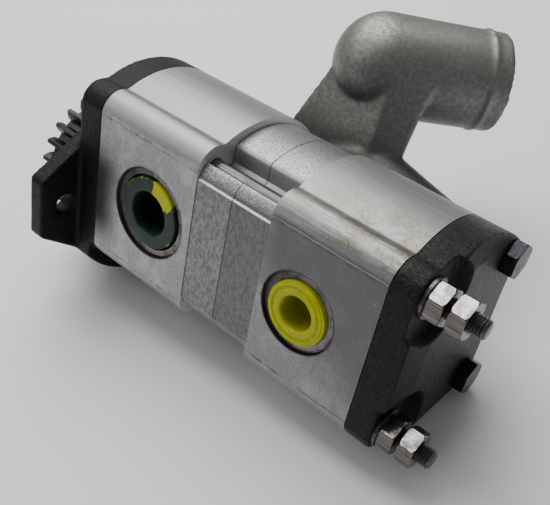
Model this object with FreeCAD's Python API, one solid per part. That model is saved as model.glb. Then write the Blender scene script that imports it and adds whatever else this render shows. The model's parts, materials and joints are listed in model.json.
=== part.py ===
import FreeCAD, Part
import math
import os

# Tandem hydraulic gear pump: two external gear sections on one drive line, a
# two-bolt mounting flange at the front, a common suction manifold on the far side.
# Millimetres. +X runs along the shafts from the flange to the rear cover, +Z is up
# from the drive shaft to the driven gears, and -Y is the outlet side.
# The origin is the centre of the drive shaft on the flange's mounting face.

# ---- Gears -----------------------------------------------------------------
CENTRE_DISTANCE = 40.0          # drive axis to driven axis
PUMP_TEETH = 14
PRESSURE_ANGLE = 20.0           # degrees, pump gears and input gear
PUMP_BACKLASH = 0.16            # tooth thinning on each pump gear
TIP_CLEARANCE = 0.07            # gear tip to body bore
SIDE_CLEARANCE = 0.05           # gear side to bearing block
FRONT_GEAR_WIDTH = 32.0
REAR_GEAR_WIDTH = 26.0

JOURNAL_RADIUS = 10.0
JOURNAL_CLEARANCE = 0.03
SHAFT_HOLE_GAP = 1.0            # shaft to the holes it passes through
BUSH_WALL = 2.0
BLOCK_CLEARANCE = 0.03          # bearing block to body bore
FRONT_FORE_BLOCK = 22.0         # length of the block on the flange side
REAR_FORE_BLOCK = 16.0

INPUT_TEETH = 22
INPUT_MODULE = 3.175
INPUT_WIDTH = 22.0
INPUT_GAP = 10.0                # mounting face to the input gear
INPUT_BACKLASH = 0.1
INPUT_WEB_RECESS = 4.0
INPUT_RIM_MODULES = 2.2         # pitch circle to the inside of the rim, in modules
INPUT_HUB_RADIUS = 19.0
SEAT_RADIUS = 9.5               # shaft under the input gear
NOSE_THREAD_RADIUS = 6.0
NOSE_LENGTH = 9.5
KEY_WIDTH = 5.0
KEY_LENGTH = 14.0
KEY_DEPTH = 3.0
KEY_RISE = 2.3
NOSE_NUT_HEIGHT = 6.0
NOSE_WASHER_RADIUS = 12.0

# ---- Castings and extrusions ------------------------------------------------
FLANGE_LENGTH = 25.0
FRONT_BODY_LENGTH = 70.0
FRONT_PLATE_LENGTH = 22.8
REAR_PLATE_LENGTH = 23.7
REAR_BODY_LENGTH = 63.5
COVER_LENGTH = 20.0

HALF_WIDTH = 44.0
HALF_HEIGHT = 56.0
ARCH_RADIUS = 61.5              # top and bottom of the extrusion
BOSS_RADIUS = 12.2              # round corner about each near bolt
BOLT_INSET = 12.0               # near bolt axis inside the near side
BOLT_Z = 38.0                   # near bolt axis from the middle height
VALLEY_ROUND = 4.0              # fillet between boss and arch
FAR_CORNER = 10.0               # round where the arch meets the far side
FAR_BOLT_INSET = 13.0
FAR_BOLT_Z = 36.5

PLATE_STEP = 0.4                # plate flat inside the body flat
PLATE_FLAT_Z = 35.1
PLATE_ARCH_HALF_WIDTH = 19.0
PLATE_ARCH_TOP = 52.15
PLATE_ARCH_RADIUS = 54.4
PLATE_ARCH_SHIFT = 3.6          # arch centre towards the far side
PLATE_SHOULDER = 3.0
PLATE_LIP = 4.6                 # lip beside the notch, above the bolt axis
LIP_WIDTH = 0.8
LEDGE_BREAK = (0.9, 0.8)        # broken edge above the flat: in and up
LEDGE_BOW = (2.5, 1.7)          # middle of the ledge: in from the flat, up from the bolt axis
NOTCH_GAP = 0.5                 # bolt to the open corner notch
NOTCH_FLOOR_Z = 34.0
SEAL_LAND = 0.9                 # metal kept outside the seal groove

# ---- Mounting flange (two-bolt, 106.4 mm) -----------------------------------
PILOT_RADIUS = 41.275
PILOT_LENGTH = 6.35
PILOT_CHAMFER = 1.0
EAR_THICKNESS = 10.0
EAR_SPACING = 106.4
EAR_HOLE_RADIUS = 5.5
EAR_REACH = 69.0
EAR_HALF_HEIGHT = 17.5
EAR_DISC_RADIUS = 52.0
EAR_CORNER = 5.0
LOBE_RADIUS = 55.0
LOBE_LENGTH = 21.0
BLOCK_START = 8.0               # where the flange takes the body's outline

# ---- Seals ------------------------------------------------------------------
SEAL_OUTER_RADIUS = 16.0
SEAL_WIDTH = 7.0
SEAL_FRONT = -2.0
SEAL_RUNNING_GAP = 0.05
CIRCLIP_WIDTH = 1.2
CIRCLIP_BITE = 1.2              # into the groove
CIRCLIP_STAND = 2.0             # into the bore
CIRCLIP_GAP = 0.1               # clip to seal
CIRCLIP_HALF_GAP = 3.0          # half the clip's opening
SEAL_FRONT_WALL = 2.0
SEAL_CASE_WALL = 1.8
SEAL_LIP_WALL = 1.6
GROOVE_LAND = 0.55              # bore to seal groove
GROOVE_WIDTH = 1.8
GROOVE_DEPTH = 1.5
PRESSURE_SEAL_RADIUS = 16.5
PRESSURE_SEAL_WIDTH = 2.2
PRESSURE_SEAL_DEPTH = 2.0

# ---- Shaft coupling between the sections ------------------------------------
SPLINE_TEETH = 12
SPLINE_OUTER = 8.0
SPLINE_INNER = 6.8
SPLINE_CLEARANCE = 0.05
COUPLING_RADIUS = 13.5
COUPLING_LENGTH = 26.0
COUPLING_BORE_GAP = 1.5
MID_SEAL_WIDTH = 6.0
MID_SEAL_RADIUS = 15.0
SHAFT_END_GAP = 1.0

# ---- Fasteners --------------------------------------------------------------
BOLT_RADIUS = 5.0               # M10
BOLT_HOLE_GAP = 0.25
THREAD_GAP = 0.02
THREAD_DEPTH = 16.0
HEX_ACROSS_FLATS = 17.0
HEX_CHAMFER = 0.9
STUD_CHAMFER = 1.0
NUT_HEIGHT = 8.0
NUT_GAP = 2.5                   # between the two nuts on each stud
STUD_OVERHANG = 7.0
HEAD_HEIGHT = 6.5
WASHER_RADIUS = 10.0
WASHER_THICKNESS = 2.0
DOWEL_RADIUS = 3.0
DOWEL_LENGTH = 12.0
DOWEL_INSET = 8.5               # dowel axis inside the body's side

# ---- Rear cover -------------------------------------------------------------
SEAT_THICKNESS = 13.5           # cover under the near nuts
POCKET_FLOOR_RADIUS = 20.0
POCKET_TOP_RADIUS = 23.0
SLOPE_DROP = 3.0
SIDE_SLOPE_RUN = 15.0
END_SLOPE_RUN = 10.0

# ---- Outlet ports and their plugs (near side) ---------------------------------
FRONT_PORT_X = 40.2             # from the front body's front face
REAR_PORT_X = 24.3              # from the rear body's front face
SPOT_DEPTH = 1.8
FRONT_PORT = {"spot": 24.75, "thread": 20.95, "depth": 17.0, "drill": 11.0,
              "rim": 19.75, "hollow": 12.0, "proud": 0.0}
REAR_PORT = {"spot": 21.0, "thread": 16.63, "depth": 16.0, "drill": 8.0,
             "rim": 16.4, "hollow": 8.9, "proud": 1.2}
PLUG_LENGTH = 14.0
PLUG_FLOOR = 3.0
PLUG_STEP = 1.0                 # barrel inside the rim
PLUG_RIM = 2.0                  # rim past the spot face
PLUG_RIBS = 3
PLUG_RIB = 1.5
PLUG_RIB_GAP = 0.1
PLUG_RIB_START = 4.0
PLUG_RIB_PITCH = 3.5

# ---- Suction manifold (far side) ----------------------------------------------
INLET_RADIUS = 13.5
PAD_HALF = 27.5
PAD_THICKNESS = 9.0
PAD_CORNER = 8.0
SCREW_SPACING = 38.9            # four M8 screws in a square about each inlet
SCREW_RADIUS = 4.0
SCREW_HEAD_RADIUS = 6.5
SCREW_HEAD_HEIGHT = 7.6
SCREW_ENGAGEMENT = 12.0
SCREW_HOLE_DEPTH = SCREW_ENGAGEMENT + 2.0
SCREW_SOCKET = 3.0              # half across the socket's flats
SOCKET_DEPTH = 4.0
MANIFOLD_WALL = 4.0
NECK_WALL = 5.0
BRANCH_RADIUS = 17.0
BRANCH_STANDOFF = 37.0          # branch axes from the body's side
BRANCH_Z = 22.0                 # branch axis at each inlet
CROTCH_X = 112.0                # where the two branches meet
CROTCH_Z = 36.0
DOME_X = 96.4
DOME_STANDOFF = 56.3            # dome centre from the body's side
DOME_Z = 88.5
TUBE_RADIUS = 29.6
TUBE_END_RADIUS = 28.6
TUBE_LENGTH = 68.0              # dome centre to mouth
TUBE_TURN = 42.6                # degrees from +X towards +Y
BEAD_RISE = 1.6
BEAD_BACK = 11.0                # bead to mouth
BEAD_LENGTH = 4.0
# The neck under the tube in plan, as (x, distance from the body's side): level with the
# tube's axis, and at its foot on the branches.
NECK_TOP = ((78.0, 34.0), (116.4, 34.5), (134.0, 50.7), (118.0, 70.0), (84.0, 68.0))
NECK_FOOT = ((54.0, 23.0), (118.5, 23.0), (132.0, 35.5), (122.0, 53.0), (58.0, 53.0))
NECK_FOOT_Z = 26.0
INLET_RING_RADIUS = 16.2
INLET_RING_WIDTH = 1.8

# ---- Places worked out from the sizes above -----------------------------------
V = FreeCAD.Vector
AXIS = V(1, 0, 0)
MID_Z = CENTRE_DISTANCE / 2.0
BOLT_Y = HALF_WIDTH - BOLT_INSET
FAR_BOLT_Y = HALF_WIDTH - FAR_BOLT_INSET
PUMP_MODULE = CENTRE_DISTANCE / PUMP_TEETH
GEAR_TIP = (PUMP_TEETH / 2.0 + 1.0) * PUMP_MODULE
BORE_RADIUS = GEAR_TIP + TIP_CLEARANCE
X_FRONT = FLANGE_LENGTH
X_PLATE_1 = X_FRONT + FRONT_BODY_LENGTH
X_PLATE_2 = X_PLATE_1 + FRONT_PLATE_LENGTH
X_REAR = X_PLATE_2 + REAR_PLATE_LENGTH
X_COVER = X_REAR + REAR_BODY_LENGTH
X_END = X_COVER + COVER_LENGTH
X_SEAT = X_COVER + SEAT_THICKNESS
X_INNER_NUT = X_SEAT + WASHER_THICKNESS
X_OUTER_NUT = X_INNER_NUT + NUT_HEIGHT + NUT_GAP
X_STUD_END = X_OUTER_NUT + NUT_HEIGHT + STUD_OVERHANG
X_INPUT = -INPUT_GAP - INPUT_WIDTH
X_NOSE = X_INPUT - NOSE_LENGTH
FRONT_PORT_AT = X_FRONT + FRONT_PORT_X
REAR_PORT_AT = X_REAR + REAR_PORT_X
BUSH_RADIUS = JOURNAL_RADIUS + JOURNAL_CLEARANCE + BUSH_WALL
SHAFT_HOLE_RADIUS = JOURNAL_RADIUS + SHAFT_HOLE_GAP
GROOVE_INNER = BORE_RADIUS + GROOVE_LAND
GROOVE_OUTER = GROOVE_INNER + GROOVE_WIDTH
X_COUPLING = X_PLATE_2 - COUPLING_LENGTH / 2.0 + 1.0
BRANCH_Y = HALF_WIDTH + BRANCH_STANDOFF
DOME_CENTRE = V(DOME_X, HALF_WIDTH + DOME_STANDOFF, DOME_Z)
TUBE_DIRECTION = V(math.cos(math.radians(TUBE_TURN)), math.sin(math.radians(TUBE_TURN)), 0)


# ---- Drawing helpers ---------------------------------------------------------
TINY = 0.01                     # for telling edges apart
PAST = 1.0                      # how far a cutting tool runs past a face


def rod(x0, x1, radius, y=0.0, z=0.0):
    """Solid cylinder along X between two stations."""
    return Part.makeCylinder(radius, x1 - x0, V(x0, y, z), AXIS)


def ring(x0, x1, outer, inner, y=0.0, z=0.0):
    return rod(x0, x1, outer, y, z).cut(rod(x0, x1, inner, y, z))


def rod_y(x, z, y0, y1, radius):
    """Solid cylinder along Y between two stations."""
    return Part.makeCylinder(radius, y1 - y0, V(x, y0, z), V(0, 1, 0))


def block(x0, x1, y0, y1, z0, z1):
    return Part.makeBox(x1 - x0, y1 - y0, z1 - z0, V(x0, y0, z0))


def fuse(shapes):
    joined = shapes[0]
    for shape in shapes[1:]:
        joined = joined.fuse(shape)
    return joined.removeSplitter()


def prism(points, along):
    """Extrude a closed outline of points."""
    return Part.Face(Part.makePolygon(points + [points[0]])).extrude(along)


def carve(shape, tools):
    for tool in tools:
        shape = shape.cut(tool)
    return shape.removeSplitter()


def group(shapes):
    """Separate solids kept side by side in one node."""
    return Part.makeCompound(shapes)


def export(name, shape):
    shape.exportStep("parts/" + name + ".step")
    box = shape.BoundBox
    print("%-28s %2d solid(s) x %.1f..%.1f" % (name, len(shape.Solids), box.XMin, box.XMax))


def near_corners():
    """The stud axes as (y, z), upper first."""
    return [(-BOLT_Y, MID_Z + sz * BOLT_Z) for sz in (1, -1)]


def far_corners():
    """The axes of the hexagon-head bolts as (y, z), upper first."""
    return [(FAR_BOLT_Y, MID_Z + sz * FAR_BOLT_Z) for sz in (1, -1)]


def corners():
    return near_corners() + far_corners()


# ---- Outlines ------------------------------------------------------------------
def circles_meet(c1, r1, c2, r2):
    """The higher of the two points where two circles cross."""
    dy, dz = c2[0] - c1[0], c2[1] - c1[1]
    d = math.hypot(dy, dz)
    along = (r1 * r1 - r2 * r2 + d * d) / (2.0 * d)
    across = math.sqrt(r1 * r1 - along * along)
    py, pz = c1[0] + along * dy / d, c1[1] + along * dz / d
    points = [(py - s * across * dz / d, pz + s * across * dy / d) for s in (1, -1)]
    return max(points, key=lambda p: p[1])


def arc(centre, start, end):
    """Start, middle and end of the shorter arc about a centre."""
    sy, sz = start[0] - centre[0], start[1] - centre[1]
    ey, ez = end[0] - centre[0], end[1] - centre[1]
    radius = math.hypot(sy, sz)
    my, mz = sy + ey, sz + ez
    scale = radius / math.hypot(my, mz)
    return (start, (centre[0] + my * scale, centre[1] + mz * scale), end)


def towards(centre, point, radius):
    """The point of a circle that lies in the direction of another point."""
    dy, dz = point[0] - centre[0], point[1] - centre[1]
    scale = radius / math.hypot(dy, dz)
    return (centre[0] + dy * scale, centre[1] + dz * scale)


def edge(points):
    vectors = [V(*p) for p in points]
    if len(vectors) == 2:
        return Part.LineSegment(vectors[0], vectors[1]).toShape()
    return Part.Arc(vectors[0], vectors[1], vectors[2]).toShape()


def four_way(near, far, x0, x1):
    """Extrude a closed outline given as a near and a far quadrant about the middle height."""
    edges = []
    for sy, quadrant in ((-1, near), (1, far)):
        for sz in (1, -1):
            for segment in quadrant:
                edges.append(edge([(x0, sy * y, MID_Z + sz * z) for y, z in segment]))
    wire = Part.Wire(Part.__sortEdges__(edges))
    return Part.Face(wire).extrude(V(x1 - x0, 0, 0)).removeSplitter()


def far_quadrant(flat, arch, radius):
    """Flat far side and an arch, with a round corner tangent to both."""
    reach = radius - FAR_CORNER
    corner_y = flat - FAR_CORNER
    corner = (corner_y, arch[1] + math.sqrt(reach ** 2 - (corner_y - arch[0]) ** 2))
    touch = towards(arch, corner, radius)
    top = (0.0, arch[1] + math.sqrt(radius ** 2 - arch[0] ** 2))
    return [((flat, 0.0), (flat, corner[1])),
            arc(corner, (flat, corner[1]), touch),
            arc(arch, touch, top)]


def body_blank(x0, x1):
    """A shallow arch top and bottom that stops at a round boss about each near bolt."""
    boss = (BOLT_Y, BOLT_Z)
    arch = (0.0, HALF_HEIGHT - ARCH_RADIUS)
    valley = circles_meet(boss, BOSS_RADIUS + VALLEY_ROUND, arch, ARCH_RADIUS + VALLEY_ROUND)
    boss_end = towards(boss, valley, BOSS_RADIUS)
    arch_end = towards(arch, valley, ARCH_RADIUS)
    skim_z = BOLT_Z + math.sqrt(BOSS_RADIUS ** 2 - BOLT_INSET ** 2)
    near = [((HALF_WIDTH, 0.0), (HALF_WIDTH, skim_z)),
            arc(boss, (HALF_WIDTH, skim_z), boss_end),
            arc(valley, boss_end, arch_end),
            arc(arch, arch_end, (0.0, HALF_HEIGHT))]
    return four_way(near, far_quadrant(HALF_WIDTH, arch, ARCH_RADIUS), x0, x1)


def notch_floor(floor_start):
    """Floor of the notch and what rises from it round the seal; ends on the arch's wall."""
    keep = GROOVE_OUTER + SEAL_LAND
    rise_z = MID_Z + math.sqrt(keep ** 2 - PLATE_ARCH_HALF_WIDTH ** 2)
    if rise_z <= NOTCH_FLOOR_Z:
        foot = (PLATE_ARCH_HALF_WIDTH, NOTCH_FLOOR_Z)
        return [(floor_start, foot)], foot
    foot = (PLATE_ARCH_HALF_WIDTH, rise_z)
    rise = (math.sqrt(keep ** 2 - (NOTCH_FLOOR_Z - MID_Z) ** 2), NOTCH_FLOOR_Z)
    return [(floor_start, rise), arc((0.0, MID_Z), rise, foot)], foot


def plate_blank(x0, x1):
    """Near side with an open notch round each stud beside a raised arch; plain far side."""
    flat = HALF_WIDTH - PLATE_STEP
    notch = BOLT_RADIUS + NOTCH_GAP
    lip = BOLT_Y + notch
    lip_top = BOLT_Z + PLATE_LIP
    ledge = [(flat, PLATE_FLAT_Z), (flat - LEDGE_BREAK[0], PLATE_FLAT_Z + LEDGE_BREAK[1]),
             (flat - LEDGE_BOW[0], BOLT_Z + LEDGE_BOW[1]), (lip + LIP_WIDTH, lip_top)]
    floor_y = BOLT_Y - math.sqrt(notch ** 2 - (BOLT_Z - NOTCH_FLOOR_Z) ** 2)
    floor, foot = notch_floor((floor_y, NOTCH_FLOOR_Z))
    arch_z = PLATE_ARCH_TOP - PLATE_ARCH_RADIUS
    arch = (-PLATE_ARCH_SHIFT, arch_z)
    reach = PLATE_ARCH_RADIUS - PLATE_SHOULDER
    round_y = PLATE_ARCH_HALF_WIDTH - PLATE_SHOULDER
    shoulder = (round_y, arch_z + math.sqrt(reach ** 2 - (round_y - arch[0]) ** 2))
    crest = towards(arch, shoulder, PLATE_ARCH_RADIUS)
    wall_top = (PLATE_ARCH_HALF_WIDTH, shoulder[1])
    top = (0.0, arch_z + math.sqrt(PLATE_ARCH_RADIUS ** 2 - PLATE_ARCH_SHIFT ** 2))
    near = [((flat, 0.0), ledge[0]),
            (ledge[0], ledge[1]),
            (ledge[1], ledge[2], ledge[3]),
            (ledge[3], (lip, lip_top)),
            ((lip, lip_top), (lip, BOLT_Z)),
            arc((BOLT_Y, BOLT_Z), (lip, BOLT_Z), (floor_y, NOTCH_FLOOR_Z))]
    near += floor + [(foot, wall_top), arc(shoulder, wall_top, crest), arc(arch, crest, top)]
    far = far_quadrant(flat, (PLATE_ARCH_SHIFT, arch_z), PLATE_ARCH_RADIUS)
    return four_way(near, far, x0, x1)


def two_lobes(x0, x1, radius):
    """A figure-eight prism about the two gear axes."""
    return fuse([rod(x0, x1, radius, 0, 0), rod(x0, x1, radius, 0, CENTRE_DISTANCE)])


def seal_loop(x0, x1):
    """Figure-eight band that seals a joint face round the gear bores."""
    return two_lobes(x0, x1, GROOVE_OUTER).cut(two_lobes(x0, x1, GROOVE_INNER))


# ---- Involute gears --------------------------------------------------------------
def tooth_angle(radius, base):
    """Involute polar angle at a radius, zero at the base circle."""
    ratio = max(radius / base, 1.0)
    return math.sqrt(ratio * ratio - 1.0) - math.acos(1.0 / ratio)


def gear_blank(x0, x1, teeth, module, pressure_deg, thinning, z=0.0, turn=0.0):
    """Spur gear of involute teeth, one tooth pointing along +Z before the turn in radians."""
    pitch = teeth * module / 2.0
    base = pitch * math.cos(math.radians(pressure_deg))
    tip = pitch + module
    root = pitch - 1.25 * module
    half = (math.pi * module / 2.0 - thinning) / (2.0 * pitch) + tooth_angle(pitch, base)
    start = max(base, root + 0.05)
    radii = [start + (tip - start) * k / 5.0 for k in range(6)]

    def point(radius, angle):
        return V(x0, radius * math.sin(angle), z + radius * math.cos(angle))

    edges = []
    for tooth in range(teeth):
        mid = turn + 2.0 * math.pi * tooth / teeth
        following = mid + 2.0 * math.pi / teeth
        angles = [half - tooth_angle(r, base) for r in radii]
        left = [point(r, mid - a) for r, a in zip(radii, angles)]
        right = [point(r, mid + a) for r, a in zip(radii, angles)]
        for flank in (left, right):
            curve = Part.BSplineCurve()
            curve.interpolate(flank)
            edges.append(curve.toShape())
        edges.append(Part.Arc(left[-1], point(tip, mid), right[-1]).toShape())
        foot_angle = angles[0]
        edges.append(Part.LineSegment(point(root, mid - foot_angle), left[0]).toShape())
        edges.append(Part.LineSegment(right[0], point(root, mid + foot_angle)).toShape())
        gap = point(root, (mid + following) / 2.0)
        ends = (point(root, mid + foot_angle), point(root, following - foot_angle))
        edges.append(Part.Arc(ends[0], gap, ends[1]).toShape())
    wire = Part.Wire(Part.__sortEdges__(edges))
    return Part.Face(wire).extrude(V(x1 - x0, 0, 0))


def spline_blank(x0, x1, gap=0.0):
    """Straight-flanked spline prism, grown by a clearance for the female side."""
    points = []
    for k in range(SPLINE_TEETH):
        mid = 2.0 * math.pi * k / SPLINE_TEETH
        for radius, share in ((SPLINE_INNER, -0.3), (SPLINE_OUTER, -0.2),
                              (SPLINE_OUTER, 0.2), (SPLINE_INNER, 0.3)):
            angle = mid + share * 2.0 * math.pi / SPLINE_TEETH
            angle += math.copysign(gap / radius, share)
            r = radius + gap
            points.append(V(x0, r * math.cos(angle), r * math.sin(angle)))
    return prism(points, V(x1 - x0, 0, 0))


# ---- Fasteners ---------------------------------------------------------------------
def hexagon(x0, x1, y, z):
    """Hexagonal prism with two corners up and down, corners turned off at both ends."""
    radius = HEX_ACROSS_FLATS / math.cos(math.radians(30)) / 2.0
    angles = [math.radians(60 * k) for k in range(6)]
    points = [V(x0, y + radius * math.sin(a), z + radius * math.cos(a)) for a in angles]
    crown = rod(x0, x1, radius, y, z)
    crown = crown.makeChamfer(HEX_CHAMFER, [e for e in crown.Edges if e.Closed])
    return prism(points, V(x1 - x0, 0, 0)).common(crown)


def nuts(x0):
    return group([hexagon(x0, x0 + NUT_HEIGHT, y, z)
                  .cut(rod(x0, x0 + NUT_HEIGHT, BOLT_RADIUS + THREAD_GAP, y, z))
                  for y, z in near_corners()])


def washers(x0):
    return group([ring(x0, x0 + WASHER_THICKNESS, WASHER_RADIUS, BOLT_RADIUS + BOLT_HOLE_GAP, y, z)
                  for y, z in near_corners()])


def studs():
    made = []
    for y, z in near_corners():
        stud = rod(FLANGE_LENGTH - THREAD_DEPTH, X_STUD_END, BOLT_RADIUS, y, z)
        ends = [e for e in stud.Edges if e.Closed]
        made.append(stud.makeChamfer(STUD_CHAMFER, ends))
    return group(made)


def hex_bolts():
    made = []
    for y, z in far_corners():
        shank = rod(FLANGE_LENGTH - THREAD_DEPTH, X_END, BOLT_RADIUS, y, z)
        made.append(fuse([shank, hexagon(X_END, X_END + HEAD_HEIGHT, y, z)]))
    return group(made)


def bolt_holes(x0, x1, places):
    return [rod(x0, x1, BOLT_RADIUS + BOLT_HOLE_GAP, y, z) for y, z in places]


def joint_faces():
    """The five faces where the bolted pieces meet."""
    return [X_FRONT, X_PLATE_1, X_PLATE_2, X_REAR, X_COVER]


def dowel_places():
    return [(side * (HALF_WIDTH - DOWEL_INSET), MID_Z) for side in (-1, 1)]


def dowels(gap=0.0):
    """Two pins across every joint face."""
    half = DOWEL_LENGTH / 2.0 + gap
    return [rod(x - half, x + half, DOWEL_RADIUS + gap, y, z)
            for x in joint_faces() for y, z in dowel_places()]


# ---- Root castings --------------------------------------------------------------------
def tangent_point(y, z, radius):
    """Where the upper tangent from a point touches a circle about the shaft."""
    reach = math.hypot(y, z)
    angle = math.atan2(z, y) + math.acos(radius / reach)
    return radius * math.cos(angle), radius * math.sin(angle)


def is_ear_tip(box):
    """True for an edge that runs along X at the end of an ear."""
    along_x = box.YLength < TINY and box.ZLength < TINY
    return along_x and abs(abs(box.Center.y) - EAR_REACH) < TINY


def ear_plate():
    """Disc about the shaft with a tapered ear on each side."""
    ty, tz = tangent_point(EAR_REACH, EAR_HALF_HEIGHT, EAR_DISC_RADIUS)
    outline = [(ty, tz), (EAR_REACH, EAR_HALF_HEIGHT), (EAR_REACH, -EAR_HALF_HEIGHT), (ty, -tz),
               (-ty, -tz), (-EAR_REACH, -EAR_HALF_HEIGHT), (-EAR_REACH, EAR_HALF_HEIGHT), (-ty, tz)]
    ears = prism([V(0, y, z) for y, z in outline], V(EAR_THICKNESS, 0, 0))
    tips = [e for e in ears.Edges if is_ear_tip(e.BoundBox)]
    ears = ears.makeFillet(EAR_CORNER, tips)
    return fuse([ears, rod(0, EAR_THICKNESS, EAR_DISC_RADIUS)])


def front_flange():
    blank = body_blank(BLOCK_START, FLANGE_LENGTH)
    lobe = rod(0, LOBE_LENGTH, LOBE_RADIUS)
    lobe = lobe.common(block(0, LOBE_LENGTH, -HALF_WIDTH, HALF_WIDTH, -LOBE_RADIUS, 0))
    pilot = rod(-PILOT_LENGTH, EAR_THICKNESS, PILOT_RADIUS)
    rim = [e for e in pilot.Edges if e.Closed and e.BoundBox.XMax < TINY - PILOT_LENGTH]
    pilot = pilot.makeChamfer(PILOT_CHAMFER, rim)
    shape = fuse([ear_plate(), lobe, blank, pilot])
    tools = [rod(-PILOT_LENGTH - PAST, SEAL_FRONT + SEAL_WIDTH, SEAL_OUTER_RADIUS),
             rod(0, FLANGE_LENGTH, SHAFT_HOLE_RADIUS),
             circlip_groove()]
    for side in (-1, 1):
        tools.append(rod(-PAST, EAR_THICKNESS + PAST, EAR_HOLE_RADIUS, side * EAR_SPACING / 2.0, 0))
    for y, z in corners():
        tools.append(rod(FLANGE_LENGTH - THREAD_DEPTH, FLANGE_LENGTH, BOLT_RADIUS + THREAD_GAP, y, z))
    return carve(shape, tools + dowels(THREAD_GAP))


def circlip_groove():
    x1 = SEAL_FRONT - CIRCLIP_GAP
    return ring(x1 - CIRCLIP_WIDTH, x1, SEAL_OUTER_RADIUS + CIRCLIP_BITE, SEAL_OUTER_RADIUS - PAST)


def circlip():
    x1 = SEAL_FRONT - CIRCLIP_GAP
    full = ring(x1 - CIRCLIP_WIDTH, x1, SEAL_OUTER_RADIUS + CIRCLIP_BITE, SEAL_OUTER_RADIUS - CIRCLIP_STAND)
    return full.cut(block(x1 - CIRCLIP_WIDTH, x1, -CIRCLIP_HALF_GAP, CIRCLIP_HALF_GAP,
                          -2 * SEAL_OUTER_RADIUS, 0))


def shaft_seal():
    """Lip seal: a cup open to the inside with a thin lip on the shaft."""
    back = SEAL_FRONT + SEAL_WIDTH
    inner = JOURNAL_RADIUS + SEAL_RUNNING_GAP
    full = ring(SEAL_FRONT, back, SEAL_OUTER_RADIUS, inner)
    return full.cut(ring(SEAL_FRONT + SEAL_FRONT_WALL, back,
                         SEAL_OUTER_RADIUS - SEAL_CASE_WALL, inner + SEAL_LIP_WALL))


def port_tools(x, port):
    """Spot face, thread and drilling of an outlet port on the near side."""
    face = -HALF_WIDTH
    return [rod_y(x, MID_Z, face - PAST, face + SPOT_DEPTH, port["spot"]),
            rod_y(x, MID_Z, face, face + SPOT_DEPTH + port["depth"], port["thread"]),
            rod_y(x, MID_Z, face, 0, port["drill"])]


def screw_places(x):
    half = SCREW_SPACING / 2.0
    return [(x + sx * half, MID_Z + sz * half) for sx in (-1, 1) for sz in (-1, 1)]


def inlet_tools(x):
    """Inlet drilling and the four screw holes on the far side."""
    face = HALF_WIDTH
    tools = [rod_y(x, MID_Z, 0, face + PAST, INLET_RADIUS)]
    for sx, sz in screw_places(x):
        tools.append(rod_y(sx, sz, face - SCREW_HOLE_DEPTH, face + PAST, SCREW_RADIUS + THREAD_GAP))
    return tools


def pump_body(x0, x1, port_at, port):
    tools = [two_lobes(x0, x1, BORE_RADIUS), seal_loop(x0, x0 + GROOVE_DEPTH),
             seal_loop(x1 - GROOVE_DEPTH, x1)]
    tools += bolt_holes(x0, x1, corners()) + port_tools(port_at, port) + inlet_tools(port_at)
    return carve(body_blank(x0, x1), tools + dowels(THREAD_GAP))


def coupling_bore():
    radius = COUPLING_RADIUS + COUPLING_BORE_GAP
    return rod(X_COUPLING - SHAFT_END_GAP, X_COUPLING + COUPLING_LENGTH + SHAFT_END_GAP, radius)


def mid_seal_stations():
    """Front faces of the shaft seals either side of the coupling."""
    return [X_PLATE_1, X_REAR - MID_SEAL_WIDTH]


def end_plate(x0, x1, joint_at):
    """Intermediate plate; the plate-to-plate joint carries a seal groove on one side."""
    tools = [rod(x0, x1, SHAFT_HOLE_RADIUS), coupling_bore()] + bolt_holes(x0, x1, far_corners())
    tools += [rod(x, x + MID_SEAL_WIDTH, MID_SEAL_RADIUS) for x in mid_seal_stations()]
    if joint_at is not None:
        tools.append(seal_loop(joint_at, joint_at + GROOVE_DEPTH))
    return carve(plate_blank(x0, x1), tools + dowels(THREAD_GAP))


def side_slope():
    """What the cover's rear face loses along its near side."""
    x0, x1 = X_END - SLOPE_DROP, X_END + PAST
    run = SIDE_SLOPE_RUN * (x1 - x0) / SLOPE_DROP
    z0 = MID_Z - HALF_HEIGHT - PAST
    points = [V(x0, -HALF_WIDTH, z0), V(x1, -HALF_WIDTH, z0), V(x1, run - HALF_WIDTH, z0)]
    return prism(points, V(0, 0, 2 * (HALF_HEIGHT + PAST)))


def end_slope(sz):
    """What the cover's rear face loses along its top or bottom."""
    x0, x1 = X_END - SLOPE_DROP, X_END + PAST
    run = END_SLOPE_RUN * (x1 - x0) / SLOPE_DROP
    y0 = -HALF_WIDTH - PAST
    z0 = MID_Z + sz * HALF_HEIGHT
    points = [V(x0, y0, z0), V(x1, y0, z0), V(x1, y0, z0 - sz * run)]
    return prism(points, V(0, -2 * y0, 0))


def rear_cover():
    tools = [side_slope()]
    for sz in (1, -1):
        tools.append(end_slope(sz))
    depth = X_END - X_SEAT
    for y, z in near_corners():
        tools.append(Part.makeCone(POCKET_FLOOR_RADIUS, POCKET_TOP_RADIUS, depth, V(X_SEAT, y, z), AXIS))
    tools += bolt_holes(X_COVER, X_END, corners())
    return carve(body_blank(X_COVER, X_END), tools + dowels(THREAD_GAP))


# ---- Bearings and seals inside each section ----------------------------------------------
def bearing_block(x0, x1, outer_face):
    shape = two_lobes(x0, x1, BORE_RADIUS - BLOCK_CLEARANCE)
    tools = [rod(x0, x1, BUSH_RADIUS, 0, z) for z in (0.0, CENTRE_DISTANCE)]
    tools.append(pressure_seal(outer_face, x0 < outer_face))
    return carve(shape, tools)


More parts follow.
